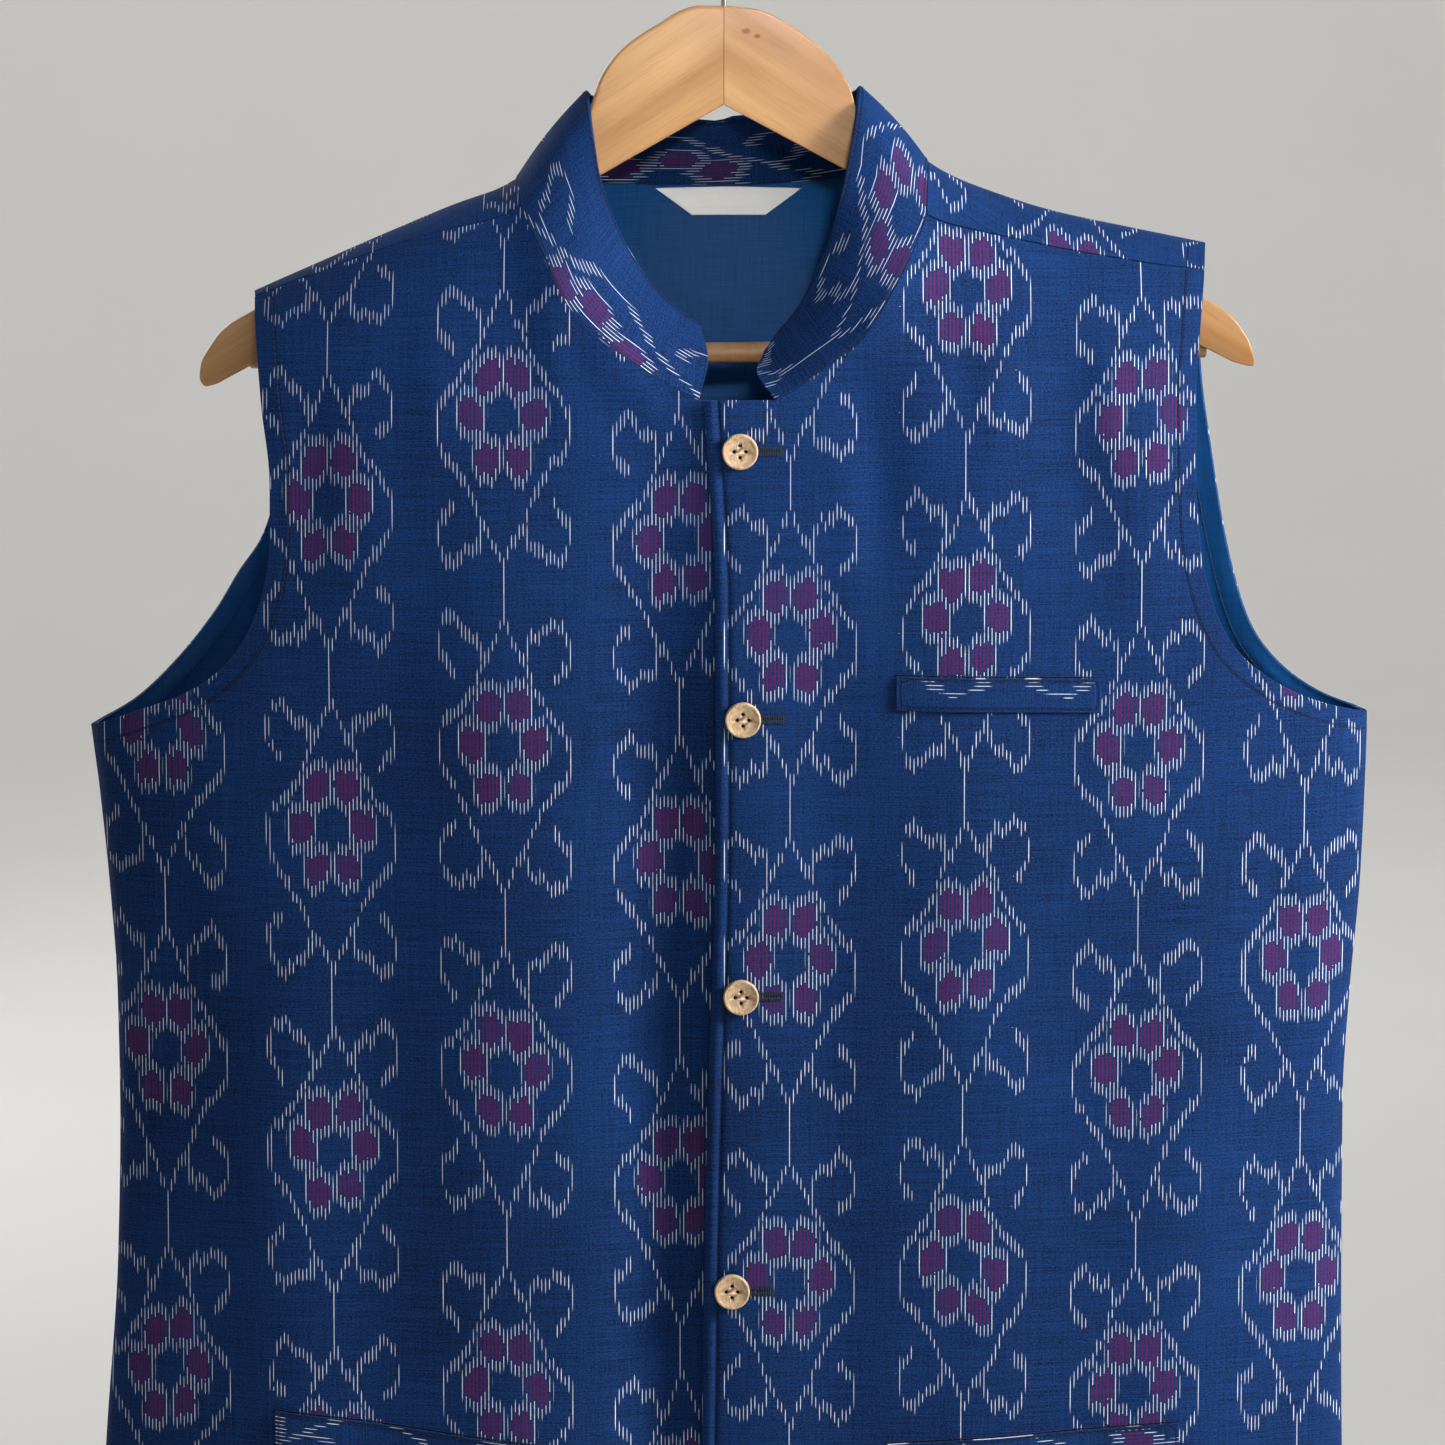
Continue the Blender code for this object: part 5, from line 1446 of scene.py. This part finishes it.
def lathe(profile, sides):
    """Points and faces of a profile of radius and height, turned about Z and left open."""
    points, faces = [], []
    for radius, height in profile:
        for k in range(sides):
            angle = 2 * math.pi * k / sides
            points.append((radius * math.cos(angle), radius * math.sin(angle), height))
    for low in range(0, len(points) - sides, sides):
        for k in range(sides):
            after = (k + 1) % sides
            faces.append((low + k, low + after, low + sides + after, low + sides + k))
    return points, faces


def turned(name, profile, sides, look):
    points, faces = lathe(profile, sides)
    last = len(points) - sides
    faces = [tuple(range(sides))[::-1], *faces, tuple(range(last, last + sides))]
    return solid(name, points, faces, look, 35)


def cut(part, tool):
    """Takes a tool's shape out of a part, once the part is settled."""
    modifier = part.modifiers.new(tool.name, "BOOLEAN")
    modifier.operation = "DIFFERENCE"
    modifier.solver = "EXACT"
    modifier.object = tool


def evaluated(piece):
    graph = bpy.context.evaluated_depsgraph_get()
    return bpy.data.meshes.new_from_object(piece.evaluated_get(graph))


def settle(piece, tools):
    """Applies a piece's modifiers to its mesh and takes the tools away."""
    mesh = evaluated(piece)
    piece.modifiers.clear()
    piece.data = mesh
    for tool in tools:
        bpy.data.objects.remove(tool)


def buttons():
    """Four-hole buttons with a rolled rim and a shallow dish."""
    for k, (x, height) in enumerate(zip(*BUTTONS.values())):
        part = turned(f"button_{k + 1}_shell", BUTTON_PROFILE, 56, SHELL)
        place, out = front_skin(LEFT, np.array([x]), np.array([height]), BUTTON_LIFT)
        tilt = math.asin(out[0, 2])
        turn = math.atan2(out[0, 0], -out[0, 1])
        tools = []
        for hole in range(4):
            tool = turned(f"hole_{k}_{hole}", [(HOLE_RADIUS, -0.002), (HOLE_RADIUS, 0.006)], 18, SHELL)
            angle = hole * math.pi / 2
            tool.location = (HOLE_RING * math.cos(angle), HOLE_RING * math.sin(angle), 0)
            cut(part, tool)
            tools.append(tool)
        settle(part, tools)
        part.location = place[0]
        part.rotation_euler = (math.pi / 2 - tilt, 0, turn)
        attach(part, "coconut_shell", f"button_{k + 1}")


def smooth_line(points, steps):
    """A smooth line through points, with this many steps between each two."""
    points = np.array(points)
    count = len(points) - 1
    run = lengths(points)
    at = np.interp(np.arange(count * steps + 1) / steps, np.arange(count + 1), run)
    return [tuple(point) for point in np.stack([along(run, column, at) for column in points.T], -1)]


def hanger_arm(side):
    """Half the hanger, with a smooth outline and rounded edges."""
    line = smooth_line([(GAP / 2, CROWN[side][0][1])] + CROWN[side][1:], 4)
    nose = smooth_line([CROWN[side][-1]] + ARM_NOSE[side], 4)
    outline = line[:-1] + nose + [ARM_UNDER[side], (GAP / 2, NOTCH)]
    count = len(outline)
    points = [(side * reach, y, z) for y in (-WOOD_HALF, WOOD_HALF) for reach, z in outline]
    front = tuple(range(count))
    faces = [front, tuple(k + count for k in front[::-1])]
    faces += [(k, k + count, (k + 1) % count + count, (k + 1) % count) for k in range(count)]
    if side == RIGHT:
        faces = [face[::-1] for face in faces]
    name = "hanger_arm_" + name_of(side)
    part = solid(name + "_wood", points, faces, WOODS[side], 30)
    weights = part.data.attributes.new("bevel_weight_edge", "FLOAT", "EDGE")
    for edge in part.data.edges:
        a, b = (part.data.vertices[k].co for k in edge.vertices)
        mitre = max(abs(a.x), abs(b.x)) < GAP
        weights.data[edge.index].value = 1.0 if abs(a.y - b.y) < GAP and not mitre else 0.0
    bevel = part.modifiers.new("rounded edges", "BEVEL")
    bevel.width = WOOD_ROUND
    bevel.segments = 4
    bevel.limit_method = "WEIGHT"
    tools = seats(side)
    for tool in tools:
        cut(part, tool)
    settle(part, tools)
    smooth(part.data, 40)
    attach(part, "hanger_wood", name)


def glue_line():
    """The dark line where the two arms are glued."""
    deep, thick = WOOD_HALF - GLUE_INSET, GAP / 2
    heights = (CROWN[LEFT][0][1] - GLUE_INSET, NOTCH + GLUE_INSET)
    points = [(x, y, z) for z in heights for x in (-thick, thick) for y in (-deep, deep)]
    faces = [(0, 1, 3, 2), (4, 6, 7, 5), (0, 2, 6, 4), (1, 5, 7, 3), (0, 4, 5, 1), (2, 3, 7, 6)]
    attach(solid("glue_line", points, faces, GLUE), "hanger_wood")


def rod(name, start, end, ease_by, radius, sides, look):
    """A round rod between two points of the hanger's plane, its ends eased by a little."""
    way = np.array(end) - start
    length = np.linalg.norm(way)
    profile = [(radius, ease_by), (radius, length - ease_by)]
    if ease_by:
        profile = [(radius - ease_by, 0.0), *profile, (radius - ease_by, length)]
    part = turned(name, profile, sides, look)
    part.location = (start[0], 0, start[1])
    part.rotation_euler = (0, math.atan2(way[0], way[1]), 0)
    return part


def bar_ends():
    return {side: np.array(BAR_ENDS[side]) * (side, 1) for side in (LEFT, RIGHT)}


def seats(side):
    """Cutters for the bar's and the stem's seats in an arm."""
    ends = bar_ends()
    way = unit(ends[LEFT] - ends[RIGHT])
    start, end = ends[side] + side * GAP * way, ends[side] - side * SEAT_LENGTH * way
    low, high = np.array((0, STEM[0][1] - GAP)), STEM[3]
    return [
        rod("seat_bar", start, end, 0.0, BAR_RADIUS + GAP, 28, LABEL),
        rod("seat_stem", low, high, 0.0, WIRE_RADIUS + GAP, 28, LABEL),
    ]


def trouser_bar():
    """The round bar between the arms, with eased ends."""
    ends = bar_ends()
    part = rod("trouser_bar_wood", ends[RIGHT], ends[LEFT], BAR_EASE, BAR_RADIUS, 32, BAR_WOOD)
    attach(part, "hanger_wood", "trouser_bar")


def hook_wire():
    """The hook as one smooth round wire."""
    bend = HOOK_INNER + WIRE_RADIUS
    route = list(STEM)
    for k in range(BEND_STEPS + 1):
        a = HOOK_START + (HOOK_OPEN - HOOK_START) * k / BEND_STEPS
        route.append((bend * math.cos(a), -HOOK_INNER + bend * math.sin(a)))
    line = smooth_line(route, 3)
    curve = bpy.data.curves.new("hook_wire", "CURVE")
    curve.dimensions = "3D"
    curve.bevel_depth = WIRE_RADIUS
    curve.bevel_resolution = 5
    curve.use_fill_caps = True
    spline = curve.splines.new("POLY")
    spline.points.add(len(line) - 1)
    for point, (x, z) in zip(spline.points, line):
        point.co = (x, 0, z, 1)
    drawn = show("drawn", curve)
    mesh = evaluated(drawn)
    bpy.data.objects.remove(drawn)
    mesh.materials.clear()
    mesh.materials.append(STEEL)
    smooth(mesh, 50)
    attach(show("hook_wire", mesh), "hook_wire", "hook")


def room():
    """A round pale room, whose floor turns up into the wall."""
    foot = ROOM - COVE
    route = [(0.001, FLOOR), (foot, FLOOR)]
    for angle in np.linspace(0, math.pi / 2, COVE_STEPS + 1)[1:]:
        route.append((foot + COVE * math.sin(angle), FLOOR + COVE - COVE * math.cos(angle)))
    mesh = bpy.data.meshes.new("floor")
    points, faces = lathe([*route, (ROOM, FLOOR + ROOM_TALL)], 96)
    mesh.from_pydata(points, [], faces)
    mesh.shade_smooth()
    mesh.materials.append(paper_look("pale paper"))
    show("floor", mesh)


def studio():
    """Soft lights, the room's own light and the camera."""
    for name, spot, aim, power, size, spread_by in LIGHTS:
        lamp = bpy.data.lights.new(name, "AREA")
        lamp.energy = power
        lamp.size = size
        lamp.spread = math.radians(spread_by)
        light = show(name, lamp)
        light.location = spot
        light.rotation_euler = (Vector(aim) - Vector(spot)).to_track_quat("-Z", "Y").to_euler()
    world = bpy.data.worlds.new("studio")
    world.use_nodes = True
    sky = world.node_tree.nodes["Background"].inputs
    sky["Color"].default_value = SKY
    sky["Strength"].default_value = AMBIENT
    bpy.context.scene.world = world
    lens = bpy.data.cameras.new("camera")
    lens.sensor_width = SENSOR
    lens.lens = SENSOR * FOCAL_PIXELS / IMAGE_PIXELS
    camera = show("camera", lens)
    camera.location = CAMERA_SPOT
    camera.rotation_euler = (math.radians(90 - CAMERA_DOWN), 0, 0)
    bpy.context.scene.camera = camera
    bpy.context.scene.view_settings.view_transform = "Standard"


IKAT = ikat_cloth("ikat cotton")
LINING = lining_cloth("blue lining")
LABEL = label_look("bare label cloth")
NAVY = thread_look("navy thread", NAVY_DYE)
DARK_THREAD = thread_look("dark buttonhole thread", HOLE_DYE)
SHELL = shell_look("coconut shell")
WOODS = {side: wood_look("varnished wood " + name_of(side), side * GRAIN_TURN) for side in (LEFT, RIGHT)}
GLUE = wood_look("dark glue", 0.0, GLUE_DARK, GLUE_LIGHT)
BAR_WOOD = wood_look("bar wood")
STEEL = steel_look("chromed wire")

for body_side in (LEFT, RIGHT):
    front_piece(body_side)
back_pieces()
collar_face = collar_piece()
welt_lines = [welt_piece(welt_name, **sizes) for welt_name, sizes in WELTS.items()]
label_piece()
sewing_and_mouth_shadows(welt_lines, collar_face)
buttonholes()
buttons()
for body_side in (LEFT, RIGHT):
    hanger_arm(body_side)
glue_line()
hook_wire()
trouser_bar()
room()
studio()
